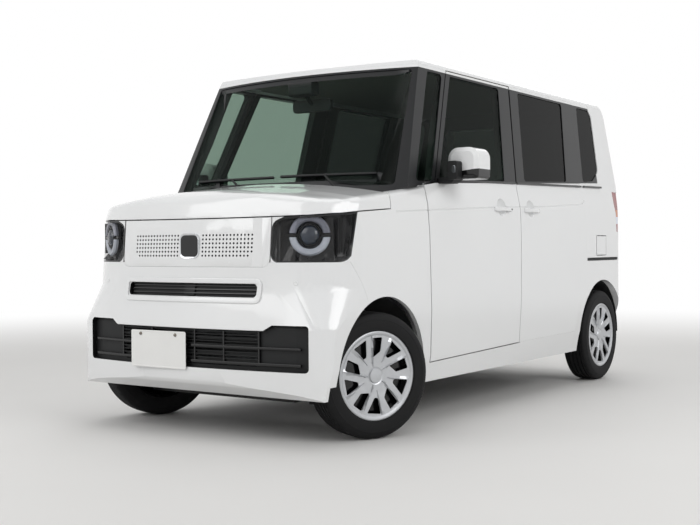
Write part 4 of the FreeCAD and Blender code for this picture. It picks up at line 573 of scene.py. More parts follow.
def side_panel(node, body, *hollows):
    """A door or side, painted, with the crease and hollows cut in."""
    piece = coat(dressed(node), paint)
    low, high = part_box(node)
    sides = (1,) if node.endswith("left") else (-1,) if node.endswith("right") else (1, -1)
    for side in sides:
        carve(piece, *crease_cutters(side, low.y, high.y),
              *[handle_hollow(side, handle_places[which]) for which in hollows])
    return piece


for node, body, hollows in (("front_door_left", "front_door_left", ("front",)),
                            ("front_door_right", "front_door_right", ("front",)),
                            ("sliding_doors", "body", ("rear",))):
    door = side_panel(node, body, *hollows)
    split(door, (0, belt_front_place, belt_front_height), (0, -belt_rise, 1))
    split(door, (0, 0, rail_low_height), (0, 0, 1))
    ease(door, panel_edge)
    coat(door, paint, (faces_in, trim), (above_belt, film), (on_rail, paint))
    mount(door, body, "paint", node)

for node, tests in (("body_sides", ((faces_in, trim),)), ("front_fenders", ())):
    panel = side_panel(node, "body")
    ease(panel, panel_edge)
    mount(coat(panel, paint, *tests), "body", "paint", node)

mouth_reach, mouth_low, mouth_top = 0.640, 0.323, 0.517
slot_reach, slot_low, slot_top = 0.376, 0.630, 0.688
wall_margin = 0.008


def in_opening(place, normal):
    """True of the walls of the bumper's mouth and slot, which are black."""
    across = abs(place.x) - wall_margin
    mouth = across < mouth_reach and mouth_low - wall_margin < place.z < mouth_top + wall_margin
    slot = across < slot_reach and slot_low - wall_margin < place.z < slot_top + wall_margin
    return (mouth or slot) and abs(normal.y) < 0.4 and place.y < -1.5


def on_hood_rim(place, normal):
    """True of the sharp edge where the hood's front face meets its top."""
    return place.y < -1.43 and place.z > 1.03 and 0.25 < normal.z < 0.93


def near_hood_rim(place, normal):
    """True of the outer skin round that edge, and not of the seam below it."""
    return place.y < -1.375 and place.z > 0.998 and (normal.z > 0.15 or normal.y < -0.3)


hood_front_place, hood_seam_height = -1.63, 0.992
slice_width, slice_depth, slice_rise = 0.04, 0.0125, 0.010
rim_drop = 0.006
rim_reach = 0.065
rim_pull = {"use_proportional_edit": True, "proportional_edit_falloff": "SMOOTH",
            "proportional_size": rim_reach}


def rounded_hood():
    """The hood, its front face and edge divided and drawn in to a soft round."""
    piece = dressed("hood")
    for step in range(-18, 19):
        split(piece, (slice_width * step, 0, 0), (1, 0, 0))
    for step in range(22):
        split(piece, (0, hood_front_place + slice_depth * step, 0), (0, 1, 0))
    for step in range(6):
        split(piece, (0, 0, hood_seam_height + slice_rise * step), (0, 0, 1))
    shape(piece, on_hood_rim,
          (bpy.ops.transform.resize, {"value": (0.985, 0.982, 1), "center_override": (0, -1.1, 1.05),
                                      **rim_pull}),
          (bpy.ops.transform.translate, {"value": (0, 0, -rim_drop), **rim_pull}), kind="VERT")
    return edit(piece, near_hood_rim, bpy.ops.mesh.vertices_smooth, "VERT", factor=0.5, repeat=16)


for node, panel, tests in (("roof_panel", dressed("roof_panel"), ((faces_down, headliner),)),
                           ("front_bumper", dressed("front_bumper"), ((in_opening, grained),)),
                           ("rear_bumper", dressed("rear_bumper"), ()),
                           ("hood", rounded_hood(), ((faces_down, grained),)),
                           ("fuel_lid", dressed("fuel_lid"), ())):
    mount(coat(ease(panel, panel_edge), paint, *tests), body_of[node], "paint", node)

pillars = split(dressed("pillar_frames"), (0, 0, rail_low_height), (0, 0, 1))
ease(pillars, panel_edge)
coat(pillars, film, (faces_in, trim), (on_rail, paint))
mount(pillars, "body", "pillar_paint", "pillar_frames")


# The perforated panel between the headlamps
hole_radius = 0.0048
hole_pitch = 0.019
hole_rise = 0.0178
hole_first_reach = 0.074
hole_low_height = 0.808
hole_columns = 15
hole_rows = 6
panel_place = surface("grille_panel", (0, -3, 0.851), (0, 1, 0))[0].y


def perforation():
    """Two fields of round holes beside the badge, as one cutter whose black finish lines the holes'
    walls as painted shade.
    """
    hole = rod("hole", (hole_first_reach, panel_place - 0.03, hole_low_height),
               (hole_first_reach, panel_place + 0.10, hole_low_height), hole_radius, sides=12)
    for count, way in ((hole_columns, (hole_pitch, 0, 0)), (hole_rows, (0, 0, hole_rise))):
        modify(hole, "ARRAY", count=count, use_relative_offset=False, use_constant_offset=True,
               constant_offset_displace=way)
    corner = hole_first_reach + hole_pitch * (hole_columns - 1.5)
    edit(hole, lambda place, normal: place.x > corner and place.z < hole_low_height + hole_rise / 2,
         bpy.ops.mesh.delete, "VERT", type="VERT")
    # The grained black that the cut passes on is painted shade on the holes' walls
    return coat(join("holes", hole, copy_of(hole, "more_holes", across_car)), grained)


grille = coat(dressed("grille_panel"), paint)
ease(grille, panel_edge)
carve(grille, perforation())
mount(smooth(grille), "body", "paint", "grille_panel")

# A plain plaque where the badge was, a domed black face in a bright bezel
plaque_place = Vector((0, panel_place - 0.002, 0.851))
bezel = slab("plaque_bezel", (-0.057, plaque_place.y - 0.006, plaque_place.z - 0.055),
             (0.057, plaque_place.y + 0.012, plaque_place.z + 0.055), 0.030, 1, 0.0025, segments=8)
shape(bezel, faces_front, inset(0.006), shift(0, 0.004, 0))
fit(smooth(bezel), chrome)
face = slab("plaque_face", (-0.050, plaque_place.y - 0.005, plaque_place.z - 0.048),
            (0.050, plaque_place.y + 0.010, plaque_place.z + 0.048), 0.025, 1, 0.003, segments=8)
fit(face, gloss_black)


# Headlamps: a black tub behind a clear lens, with a split ring round the projector
lamp_rim = 0.007
lamp_depth = 0.030
ring_place = (0.600, -3, 0.893)


def lamp_shows(place, normal):
    """True of the lamp's face, on the car's own surface."""
    return normal.y < -0.3 or normal.x * math.copysign(1, place.x) > 0.5


lamp_corners = ((0.437, 0.779, 1, 1, 0.034), (0.437, 0.962, 1, -1, 0.040), (0.720, 0.779, -1, 1, 0.022))


def chords(corner):
    """A place on each chord that rounds a lamp's corner, and the chord's way inwards."""
    x, z, across, rise, radius = corner
    for degrees in (22.5, 45, 67.5):
        turn = math.radians(degrees)
        way = Vector((across * math.cos(turn), 0, rise * math.sin(turn)))
        near = (math.cos(turn) + math.sin(turn) - 1) * radius
        yield Vector((x, 0, z)) + way * near, way


def in_corner(place, normal):
    """True of the painted corners that round the lamp's opening."""
    spot = Vector((abs(place.x), 0, place.z))
    return any((spot - chord).dot(way) < 0 for corner in lamp_corners for chord, way in chords(corner))


def corner_shows(place, normal):
    return lamp_shows(place, normal) and in_corner(place, normal)


def lamp_opens(place, normal):
    return lamp_shows(place, normal) and not in_corner(place, normal)


tub, cover = dressed("headlamps"), dressed("headlamps", "headlamp_lens")
for piece in (tub, cover):
    for corner in lamp_corners:
        for spot, way in chords(corner):
            for side in (1, -1):
                split(piece, (side * spot.x, 0, spot.z), (side * way.x, 0, way.z))
shape(tub, lamp_opens, inset(lamp_rim),
      (bpy.ops.mesh.extrude_region_move, {}), (bpy.ops.transform.shrink_fatten, {"value": -lamp_depth}))
coat(smooth(tub), gloss_black, (corner_shows, paint))
mount(tub, "body", "black_plastic", "headlamps")
edit(cover, lambda place, normal: not lamp_opens(place, normal), bpy.ops.mesh.delete, type="FACE")
edit(cover, every, bpy.ops.transform.shrink_fatten, value=-0.001)
modify(cover, "SOLIDIFY", thickness=0.0025, offset=-1)
fit(smooth(cover), lens, "body", "lamp_clear")

lamp_face, lamp_normal = surface("headlamps", ring_place, (0, 1, 0))
lamp_way = Vector((lamp_normal.x, lamp_normal.y, 0)).normalized()
lamp_seat = facing(lamp_face - lamp_way * (lamp_depth + 0.002), lamp_way)
ring = turned("ring", [(0.058, 0), (0.058, 0.012), (0.064, 0.018), (0.080, 0.017), (0.087, 0.010),
                       (0.087, 0), (0.058, 0)], sides=64)
carve(ring, block("gap", (-0.1, -0.009, -0.01), (0.1, 0.009, 0.03)))
moved(smooth(ring), lamp_seat)
# The ring's upper half takes the darker copy of the guide: painted shade
twins(coat(ring, guide, (lambda place, normal: place.z > ring_place[2], painted_shade_guide)), "headlamp_ring",
      "body", "lamp_clear")
barrel = turned("barrel", [(0.056, 0), (0.056, 0.010), (0.050, 0.016), (0.045, 0.010), (0.042, 0.010),
                           (0.042, 0.002), (0.0005, 0.002), (0.0005, 0)], sides=48)
twins(coat(moved(barrel, lamp_seat), gloss_black), "projector_barrel")
globe = turned("globe", [(0.0415, 0.003), (0.040, 0.010), (0.035, 0.017), (0.026, 0.0225),
                         (0.014, 0.0255), (0.0005, 0.0265)], sides=48)
twins(coat(moved(globe, lamp_seat), projector), "projector_lens", "body", "lamp_clear")
arms = [block("arm", (-0.104, -0.006, 0.0), (-0.056, 0.006, 0.008)),
        block("arm", (0.056, -0.006, 0.0), (0.104, 0.006, 0.008))]
arm = ease(join("arm", *arms), 0.0015)
twins(coat(moved(arm, lamp_seat), gloss_black), "headlamp_arm")
ribs = [block("rib", (0.118 + 0.007 * index, -0.075, -0.004), (0.1205 + 0.007 * index, 0.07, 0.004))
        for index in range(4)]
twins(coat(moved(ease(join("ribs", *ribs), 0.0006), lamp_seat), grained), "headlamp_ribs")


# Bumper: the lip round the slot, its slats, the mouth's bars, sensors and the plate
bow_radius = 3.486
bow_front_place = -1.6772
bow = rod("bow", (0, bow_front_place + bow_radius, 0.2), (0, bow_front_place + bow_radius, 0.6),
          bow_radius, sides=768)
lip = sheet("slot_lip", nodes["front_bumper"], (-slot_reach - 0.026, slot_low - 0.026),
            (slot_reach + 0.026, slot_top + 0.022), -1, 0.007, corner=0.030, soft=0.0035,
            frame_width=0.022, cuts=25)
fit(lip, paint, "body", "paint")
for index in range(3):
    low = slot_low + 0.010 + 0.0165 * index
    slat = sheet("slot_slat_%d" % index, nodes["intake_grilles"], (-slot_reach + 0.004, low),
                 (slot_reach - 0.004, low + 0.005), -1, 0.010, soft=0.001)
    fit(slat, gloss_black)
fit(sheet("slot_divider", nodes["intake_grilles"], (-0.030, slot_low + 0.004),
          (0.030, slot_top - 0.004), -1, 0.007, soft=0.002, cuts=5), grained)
mouth_middle, bar_reach = 0.414, 0.60
for name, height, tall in (("mouth_bar", mouth_middle, 0.010), ("mouth_sill", mouth_low + 0.022, 0.012)):
    fit(sheet(name, bow, (-bar_reach, height), (bar_reach, height + tall), -1, 0.012,
              soft=0.002), gloss_black)
for index in range(9):
    low = mouth_low + 0.044 + 0.0145 * index
    fit(sheet("mouth_slat_%d" % index, bow, (-0.40, low), (0.40, low + 0.004), -1, 0.008,
              soft=0.0008), grained)
for index, x in enumerate((-0.40, -0.20, 0.06, 0.22, 0.40)):
    fit(sheet("mouth_post_%d" % index, bow, (x - 0.004, mouth_low + 0.03),
              (x + 0.004, mouth_low + 0.165), -1, 0.010, soft=0.001, cuts=3), gloss_black)
bpy.data.objects.remove(bow)


def stud(name, node, x, z, way, rings, finish_of, slot):
    """A small round piece that sits square on a surface seen from the front or rear."""
    place, normal = surface(node, (x, 4 * way, z), (0, -way, 0))
    return fit(moved(turned(name, rings, sides=32), facing(place, normal)), finish_of, "body", slot)


button = [(0.0095, -0.003), (0.0095, 0.0012), (0.008, 0.0022), (0.0068, 0.0016), (0.0005, 0.0016)]
for side, word in car_sides:
    stud("front_sensor_" + word, "front_bumper", side * 0.556, 0.693, -1, button, paint, "paint")
    stud("washer_dot_" + word, "grille_panel", side * 0.225, 0.780, -1,
         [(r * 0.55, z * 0.6) for r, z in button], paint, "paint")
    stud("rear_sensor_" + word, "rear_bumper", side * 0.36, 0.47, 1, button, paint, "paint")

plate_low, plate_high = Vector((-0.304, -1.7075, 0.311)), Vector((0.026, -1.7055, 0.476))
plate = slab("blank_plate", plate_low, plate_high, 0.008, 1, segments=5)
shape(plate, faces_front, inset(0.004), shift(0, -0.0012, 0), inset(0.004), shift(0, 0.0012, 0))
fit(smooth(plate, 20), plate_white, "body", "paint")
holder = slab("plate_holder", (plate_low.x + 0.02, -1.7050, plate_low.z + 0.02),
              (plate_high.x - 0.02, -1.640, plate_high.z - 0.03), 0.012, 1, 0.002)
fit(holder, grained)
for index, x in enumerate((-0.244, -0.034)):
    bolt = turned("plate_bolt_%d" % index, [(0.0075, -0.004), (0.0075, 0.001), (0.0055, 0.003),
                                            (0.0055, 0.005), (0.004, 0.006), (0.0005, 0.006)], sides=24)
    moved(bolt, facing((x, plate_low.y - 0.001, plate_high.z - 0.016), ahead))
    fit(bolt, steel, "body", "engine_metal")


# Wheels: a grooved tyre, a steel barrel and a ten-spoked cover, modelled once and copied
def tyre_form():
    """The tyre's section, drawn round: bead, bulge, shoulder and four grooves."""
    flank = [(0.1862, 0.0635), (0.1925, 0.069), (0.201, 0.0705), (0.203, 0.0735), (0.215, 0.075),
             (0.235, 0.0758), (0.244, 0.075), (0.2452, 0.0757), (0.2475, 0.0755), (0.2485, 0.0742),
             (0.258, 0.0715), (0.268, 0.067), (0.2738, 0.062), (0.2762, 0.056), (0.2772, 0.050)]
    tread = []
    for groove in (0.037, 0.0125):
        tread += [(0.2778, groove + 0.004), (0.2715, groove + 0.003), (0.2715, groove - 0.003),
                  (0.2782, groove - 0.004)]
    half = flank + tread
    other = [(r, -z) for r, z in reversed(half)]
    piece = turned("tyre", half + other + [(0.180, -0.060), (0.180, 0.060), half[0]], sides=96)

    def shoulder(place, normal):
        step = math.atan2(place.y, place.x) / (2 * math.pi) * 96
        return 0.0505 < abs(place.z) < 0.056 and int(math.floor(step)) % 2 == 0

    edit(piece, shoulder, bpy.ops.mesh.inset, thickness=0.0012, depth=-0.004, use_individual=True)
    return coat(smooth(piece, 30), rubber)


def barrel_form():
    """The steel wheel behind the cover: a barrel with a dished black disc."""
    piece = turned("barrel", [(0.179, 0.058), (0.1855, 0.060), (0.1855, -0.063), (0.193, -0.066),
                              (0.193, -0.069), (0.178, -0.065), (0.170, -0.030), (0.170, 0.020),
                              (0.150, 0.033), (0.080, 0.030), (0.062, 0.008), (0.0005, 0.008),
                              (0.0005, 0.014), (0.056, 0.014), (0.074, 0.037), (0.150, 0.039),
                              (0.174, 0.033), (0.179, 0.058)], sides=64)
    return coat(smooth(piece, 30), gloss_black)


fold_count = 5
cover_sides = 80
ridge_rise = 0.008
ridge_stand = 0.003
wide_window = ((-0.0215, 0.167), (0.0295, 0.168), (0.0232, 0.1055), (-0.016, 0.080))
slim_window = ((-0.1195, 0.1225), (-0.055, 0.159), (-0.050, 0.082), (-0.066, 0.0735))


def prism(name, corners, low, high):
    """A four-sided column between two heights, with its upright edges rounded."""
    piece = start(name, bpy.ops.mesh.primitive_circle_add, vertices=4, radius=1, fill_type="NGON",
                  location=(0, 0, low))
    for index, corner in enumerate(corners):
        turn = index * math.pi / 2
        old = Vector((-math.sin(turn), math.cos(turn), low))
        edit(piece, lambda place, normal: (place - old).length < 1e-4,
             bpy.ops.transform.translate, "VERT", value=Vector((corner[0], corner[1], low)) - old)
    shape(piece, every, pull(0, 0, high - low))
    edit(piece, every, bpy.ops.mesh.normals_make_consistent, inside=False)
    return edit(piece, lies_along(2), bpy.ops.mesh.bevel, "EDGE", offset=0.006, segments=3)


def cover_form():
    """The wheel cover: a dish with five pairs of windows set askew, a thin spoke within
    each pair and a wide one between pairs, a ridge along each spoke, and a blank cap."""
    dish = turned("cover", [(0.1965, 0.056), (0.1985, 0.062), (0.197, 0.069), (0.1915, 0.0722),
                            (0.186, 0.0715), (0.178, 0.066), (0.160, 0.065), (0.128, 0.064),
                            (0.092, 0.061), (0.064, 0.059), (0.040, 0.059), (0.034, 0.057),
                            (0.032, 0.060), (0.030, 0.0625), (0.015, 0.0635), (0.0005, 0.0637),
                            (0.0005, 0.060), (0.028, 0.056), (0.090, 0.0575), (0.170, 0.061),
                            (0.190, 0.066), (0.1925, 0.056), (0.1965, 0.056)], sides=cover_sides)
    windows = []
    for index in range(fold_count):
        spin = Matrix.Rotation(2 * math.pi * index / fold_count, 4, "Z")
        for near, far in ((wide_window[3], wide_window[0]), (slim_window[3], slim_window[0])):
            near, far = Vector((near[0], near[1], 0)), Vector((far[0], far[1], 0))
            run = (far - near).normalized()
            beside = Vector((-run.y, run.x, 0))
            near, run, beside = spin @ (near + beside * ridge_stand), spin @ run, spin @ beside
            split(dish, near, beside)

            def on_ridge(place, normal, near=near, run=run, beside=beside):
                flat = Vector((place.x, place.y, 0))
                return (abs((flat - near).dot(beside)) < 1e-5 and (flat - near).dot(run) > -0.03
                        and 0.045 < flat.length < 0.177 and normal.z > 0.3)
            edit(dish, on_ridge, bpy.ops.transform.translate, "VERT", value=(0, 0, ridge_rise))
        for corners in (wide_window, slim_window):
            windows.append(coat(moved(prism("window", corners, 0.02, 0.10), spin), silver))
    carve(dish, join("windows", *windows), crossing=True)
    modify(dish, "BEVEL", width=0.0008, segments=1, limit_method="ANGLE", angle_limit=math.radians(40))
    return coat(smooth(dish, 14), silver)


tyre, steel_wheel, wheel_cover = tyre_form(), barrel_form(), cover_form()
valve = coat(rod("valve", (0.03, 0.150, 0.030), (0.03, 0.156, 0.062), 0.004, 12, 0.003), rubber)
for corner, side in (("front_left", 1), ("front_right", -1), ("rear_left", 1), ("rear_right", -1)):
    joint = joint_of[corner + "_wheel"]
    seat = facing(Vector(joint["pos_m"]), Vector(joint["axis"]) * side)
    for form, part, slot, stands_for in ((tyre, "_tyre", "tyre", ("tyre_" + corner,)),
                                         (steel_wheel, "_barrel", "wheel_cover", ("wheel_" + corner,)),
                                         (wheel_cover, "_cover", "wheel_cover", ("wheel_" + corner,)),
                                         (valve, "_valve", "tyre", ())):
        mount(copy_of(form, corner + part, seat), corner + "_wheel", slot, *stands_for)
for template in (tyre, steel_wheel, wheel_cover, valve):
    bpy.data.objects.remove(template)


# Door mirrors: a rounded housing, white over black, on a black foot
mirror_low = Vector((0.742, -0.655, 1.160))
mirror_high = Vector((0.905, -0.540, 1.310))
mirror_bulge = 0.014
mirror_seam = Vector((0.82, 0, 1.198))
mirror_seam_slope = 0.10


def under_seam(place, normal):
    """True of the mirror's lower, black half."""
    return place.z < mirror_seam.z + mirror_seam_slope * (place.x - mirror_seam.x)


def is_mirror_face(place, normal):
    return normal.y > 0.9 and place.y < mirror_bulge + mirror_high.y - 0.001


shell = block("mirror_shell", mirror_low, mirror_high)
edit(shell, lambda place, run: abs(run.y) > 0.9 and place.z > 1.25, bpy.ops.mesh.bevel, "EDGE",
     offset=0.052, segments=6)
edit(shell, lambda place, run: abs(run.y) > 0.9 and place.z < 1.18, bpy.ops.mesh.bevel, "EDGE",
     offset=0.018, segments=3)
shape(shell, faces_front, inset(0.020), shift(0, -mirror_bulge, 0))
edit(shell, every, bpy.ops.transform.translate, value=(0, mirror_bulge, 0))
ease(shell, 0.007, segments=3, angle=24)
shape(shell, faces_back, inset(0.005), pull(0, -0.008, 0))
split(shell, mirror_seam, (-mirror_seam_slope, 0, 1))
coat(smooth(shell), paint, (under_seam, gloss_black), (is_mirror_face, silvered))
twins(shell, "door_mirror", "front_door_left", "paint", "door_mirror_left")
foot = block("foot", (0.700, -0.690, 1.140), (0.812, -0.600, 1.168))
edit(foot, lambda place, normal: normal.z < -0.9, bpy.ops.transform.resize, value=(0.7, 0.8, 1),
     center_override=(0.700, -0.645, 1.140))
twins(coat(ease(foot, 0.005), grained), "mirror_foot", "front_door_left")
side_eye = slab("side_eye", (0.770, -0.705, 1.156), (0.824, -0.640, 1.244), 0.012, 1, 0.003)
twins(coat(side_eye, grained), "mirror_box", "front_door_left")
eye_glass = slab("eye_glass", (0.797, -0.707, 1.186), (0.815, -0.7045, 1.222), 0.008, 1, 0.0008)
twins(coat(eye_glass, silvered), "mirror_box_glass", "front_door_left")
sail = block("sail", (0.6985, -0.712, 1.135), (0.7075, -0.640, 1.158))
twins(coat(ease(sail, 0.003), grained), "mirror_sail", "front_door_left")


# Door handles, belt mouldings and the sliding doors' rails
def door_handle(name, y, keyed):
    """A pull bar across the hollow, curved in to the door at its two ends."""
    out = flank_reach(handle_height)
    bar = block(name, (out + 0.012, y - 0.090, handle_height - 0.013),
                (out + 0.028, y + 0.090, handle_height + 0.010))
    for place in (-0.066, -0.045, 0.045, 0.066):
        split(bar, (0, y + place, 0), (0, 1, 0))
    for reach, drop in ((0.060, -0.005), (0.085, -0.018)):
        edit(bar, lambda place, normal, reach=reach: abs(place.y - y) > reach,
             bpy.ops.transform.translate, "VERT", value=(drop, 0, 0))

    def lifts(place, normal):
        off = abs(place.y - y)
        return off < 0.055 and normal.z < -0.2 or off > 0.08

    edit(bar, lifts, bpy.ops.transform.translate, "VERT", value=(0, 0, 0.002))
    ease(bar, 0.0045, segments=3)
    parts = [bar]
    if keyed:
        boss = turned("boss", [(0.0145, -0.016), (0.014, 0.0), (0.011, 0.003), (0.006, 0.0035),
                               (0.0055, 0.002), (0.0005, 0.002)], sides=24)
        parts.append(moved(boss, facing((out + 0.022, y + 0.066, handle_height - 0.001), outward)))
    return coat(join(name, *parts), paint)


for which, body in (("front", "front_door_left"), ("rear", "body")):
    handle = door_handle("handle", handle_places[which], which == "front")
    twins(handle, which + "_handle", body, "paint")
key_place = Vector((0.756, 0.011, handle_height - 0.001))
key_well = rod("key", key_place, (0.7585, key_place.y, key_place.z), 0.0046, 16)
twins(coat(ease(key_well, 0.0005), grained), "keyhole", "front_door_left")


def belt_moulding(name, first, last, reach):
    """A thin strip along the bottom of the windows."""
    strip = block(name, (reach - 0.004, first, -0.006), (reach + 0.004, last, 0.006))
    for share in (0.33, 0.66):
        split(strip, (0, first + (last - first) * share, 0), (0, 1, 0))
    moved(strip, Matrix(((1, 0, 0, 0), (0, 1, 0, 0),
                         (0, belt_rise, 1, belt_height(0) + 0.003), (0, 0, 0, 1))))
    return coat(ease(strip, 0.0025), gloss_black)


belt_reach = 0.7075
for name, first, last, body in (("front_belt", -0.700, 0.152, "front_door_left"),
                                ("rear_belt", 0.170, 1.052, "body"),
                                ("tail_belt", 1.085, 1.375, "body")):
    twins(belt_moulding(name, first, last, belt_reach), name, body)

rail = block("rail", (0.724, 1.080, 0.746), (0.735, 1.570, 0.762))
split(rail, (0, 1.3, 0), (0, 1, 0))
shape(rail, lambda place, normal: normal.x > 0.9, inset(0.003), shift(-0.003, 0, 0))
twins(coat(ease(rail, 0.001), grained), "door_rail")


# Glass, with the windscreen's black border printed on its outer face
screen_rear_place = -0.62
screen_border = 0.030
screen_half = 0.62
glass_low, glass_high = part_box("fixed_glass")


def on_screen(place, normal):
    return place.y < screen_rear_place and abs(place.x) < screen_half


def on_screen_face(place, normal):
    """True of the windscreen's outer face."""
    return on_screen(place, normal) and normal.y < -0.3 and normal.z > 0.1


def on_quarter(place, normal):
    """True of the small panes ahead of the doors."""
    return place.y < screen_rear_place and abs(place.x) >= screen_half


def on_border(place, normal):
    """True of the printed band round the windscreen."""
    return on_screen_face(place, normal) and (place.z > glass_high.z - screen_border
                                              or place.z < glass_low.z + 0.040)


glass = dressed("fixed_glass")
shape(glass, on_screen_face, inset(screen_border))
coat(smooth(glass), privacy_glass, (on_screen, screen_glass), (on_quarter, door_glass),
     (on_border, film))
mount(glass, "body", "side_glass", "fixed_glass")
for node, tint in (("front_glass_left", door_glass), ("front_glass_right", door_glass),
                   ("tailgate_glass", privacy_glass)):
    fit(smooth(dressed(node)), tint, body_of[node], "side_glass", node)

# Wipers at rest along the foot of the windscreen
for index, (inner, outer, height) in enumerate(((-0.52, 0.02, 1.170), (0.06, 0.56, 1.172))):
    blade = sheet("wiper_blade_%d" % index, nodes["fixed_glass"], (inner, height),
                  (outer, height + 0.010), -1, 0.014, soft=0.003, cuts=16)
    fit(blade, grained)
    foot_place = surface("cowl_panel", (outer - 0.06, -1.12, 3), (0, 0, -1))[0]
    middle = (inner + outer) / 2
    glass_place = surface("fixed_glass", (middle, -3, height + 0.006), (0, 1, 0))[0]
    arm = rod("arm", foot_place + Vector((0, 0, 0.016)), glass_place + Vector((0, -0.020, 0.004)),
              0.007, 12, 0.005)
    knob = turned("knob", [(0.016, -0.012), (0.016, 0.010), (0.012, 0.016), (0.0005, 0.018)], sides=24)
    moved(knob, Matrix.Translation(foot_place + Vector((0, 0, 0.012))))
    fit(join("wiper_arm_%d" % index, arm, knob), grained)


# Cabin: camera housing, mirror, display, screen, vents and steering wheel
screen_top = surface("fixed_glass", (0, -3, 1.640), (0, 1, 0))[0]
camera_box = slab("camera_box", (-0.075, screen_top.y + 0.008, 1.600),
                  (0.075, screen_top.y + 0.075, 1.672), 0.014, 0, 0.006)
fit(camera_box, grained)
mirror_place = Vector((0, screen_top.y + 0.120, 1.560))
inner_mirror = slab("inner_mirror", mirror_place - Vector((0.120, 0.012, 0.032)),
                    mirror_place + Vector((0.120, 0.012, 0.032)), 0.020, 1, 0.004)
fit(inner_mirror, grained)
fit(rod("inner_mirror_stalk", mirror_place, (0, screen_top.y + 0.060, 1.610), 0.008, 16, 0.012), grained)
fit(ease(dressed("dashboard"), 0.010, segments=3), grained, "body", "black_plastic", "dashboard")
hood_low, hood_high = Vector((-0.46, -0.700, 1.080)), Vector((-0.20, -0.560, 1.150))
binnacle = block("binnacle", hood_low, hood_high)
edit(binnacle, faces_up, bpy.ops.transform.resize, value=(0.86, 0.7, 1),
     center_override=(-0.33, -0.560, 1.150))
shape(ease(binnacle, 0.010, segments=3), lambda place, normal: normal.y > 0.8, inset(0.012),
      pull(0, -0.02, 0))
fit(smooth(binnacle), grained)
tablet = slab("centre_screen", (-0.115, -0.570, 1.010), (0.115, -0.548, 1.150), 0.010, 1, 0.003)
fit(tablet, gloss_black)
for index, x in enumerate((-0.56, -0.150, 0.150, 0.56)):
    vent = slab("vent_%d" % index, (x - 0.045, -0.566, 0.975), (x + 0.045, -0.540, 1.040), 0.010, 1,
                0.002)
    shape(vent, faces_back, inset(0.006), pull(0, -0.012, 0))
    fit(vent, grained)

hand_wheel = ease(dressed("steering_wheel"), 0.0035)
fit(hand_wheel, grained, "steering_wheel", "black_plastic", "steering_wheel")
column = joint_of["steering_wheel"]
pad = slab("wheel_pad", (-0.070, -0.060, 0.004), (0.070, 0.050, 0.038), 0.026, 2, 0.008, segments=5)
moved(pad, facing(Vector(column["pos_m"]), column["axis"]))
fit(pad, trim, "steering_wheel")


# Door linings: a rest and a pull, seen when a front door is open
lining_reach = 0.672
lining_out = lining_reach + 0.004
rest = slab("rest", (lining_reach - 0.055, -0.42, 0.760), (lining_out, 0.06, 0.830), 0.025, 0, 0.008)
twins(coat(rest, trim), "door_rest", "front_door_left")
pocket = slab("pocket", (lining_reach - 0.045, -0.55, 0.420), (lining_out, 0.02, 0.560), 0.03, 0, 0.008)
shape(pocket, faces_up, inset(0.006), pull(0, 0, -0.08))
twins(coat(smooth(pocket), trim), "door_pocket", "front_door_left")

# Wheelhouses: each closes the inner end of a rear arch, round the tyre, beside the luggage
house_reach = 0.603
house_radius = 0.305
house_low_height = 0.400
rear_axle_place = joint_of["rear_left_wheel"]["pos_m"]
house = turned("house", [(house_radius, 0.004), (house_radius, -0.047), (0.0005, -0.047),
                         (0.0005, -0.041), (house_radius - 0.006, -0.041),
                         (house_radius - 0.006, 0.004), (house_radius, 0.004)], sides=64)
moved(house, facing((house_reach, rear_axle_place[1], rear_axle_place[2]), outward))
edit(house, every, bpy.ops.mesh.bisect, plane_co=(0, 0, house_low_height), plane_no=(0, 0, 1),
     clear_inner=True, use_fill=True)
twins(coat(ease(house, 0.002), trim), "wheelhouse")


# Rear: lamps, garnish, handle, wiper, reflectors and the high stop lamp
lamp_bands = (0.975, 1.020, 1.065)
rear_lamps = dressed("tail_lamps")
for height in lamp_bands:
    split(rear_lamps, (0, 0, height), (0, 0, 1))


def rear_lamp_shows(place, normal):
    return normal.y > 0.4 or normal.x * math.copysign(1, place.x) > 0.6


shape(rear_lamps, rear_lamp_shows, inset(0.005),
      (bpy.ops.transform.shrink_fatten, {"value": -0.003}))
ease(rear_lamps, 0.0015)
coat(rear_lamps, red_lens, (lambda place, normal: lamp_bands[0] < place.z < lamp_bands[1], guide),
     (lambda place, normal: lamp_bands[1] < place.z < lamp_bands[2], amber_lens))
mount(rear_lamps, "body", "lamp_red", "tail_lamps")

gate = coat(dressed("tailgate"), paint)
gate_face = surface("tailgate", (0, 4, 0.76), (0, -1, 0))[0].y
recess = slab("recess", (-0.205, gate_face - 0.014, 0.655), (0.205, gate_face + 0.1, 0.850), 0.02, 1)
carve(gate, coat(recess, paint))
ease(gate, panel_edge)
mount(coat(gate, paint, (faces_front, trim)), "tailgate", "paint", "tailgate")
garnish = sheet("gate_garnish", nodes["tailgate"], (-0.31, 0.872), (0.31, 0.915), 1, 0.016,
                corner=0.012, soft=0.004)
fit(garnish, paint, "tailgate", "paint")
fit(sheet("gate_pull", nodes["tailgate"], (-0.080, 0.853), (0.080, 0.870), 1, 0.012, soft=0.003, cuts=6),
    gloss_black, "tailgate")
stop_lamp = sheet("high_stop_lamp", nodes["tailgate"], (-0.13, 1.672), (0.13, 1.690), 1, 0.010,
                  corner=0.006, soft=0.002)
fit(stop_lamp, red_lens, "tailgate", "lamp_red")
rear_blade = sheet("rear_wiper_blade", nodes["tailgate_glass"], (-0.02, 1.230), (0.34, 1.240), 1,
                   0.014, soft=0.003)
fit(rear_blade, grained, "tailgate")
wiper_foot = surface("tailgate", (0.0, 4, 1.150), (0, -1, 0))[0]
blade_hold = surface("tailgate_glass", (0.16, 4, 1.235), (0, -1, 0))[0]
rear_arm = rod("rear_arm", wiper_foot + Vector((0, 0.014, 0)), blade_hold + Vector((0, 0.018, 0)),
               0.008, 12, 0.005)
rear_knob = turned("rear_knob", [(0.020, -0.004), (0.020, 0.014), (0.014, 0.022), (0.0005, 0.024)],
                   sides=24)
moved(rear_knob, facing(wiper_foot, -ahead))
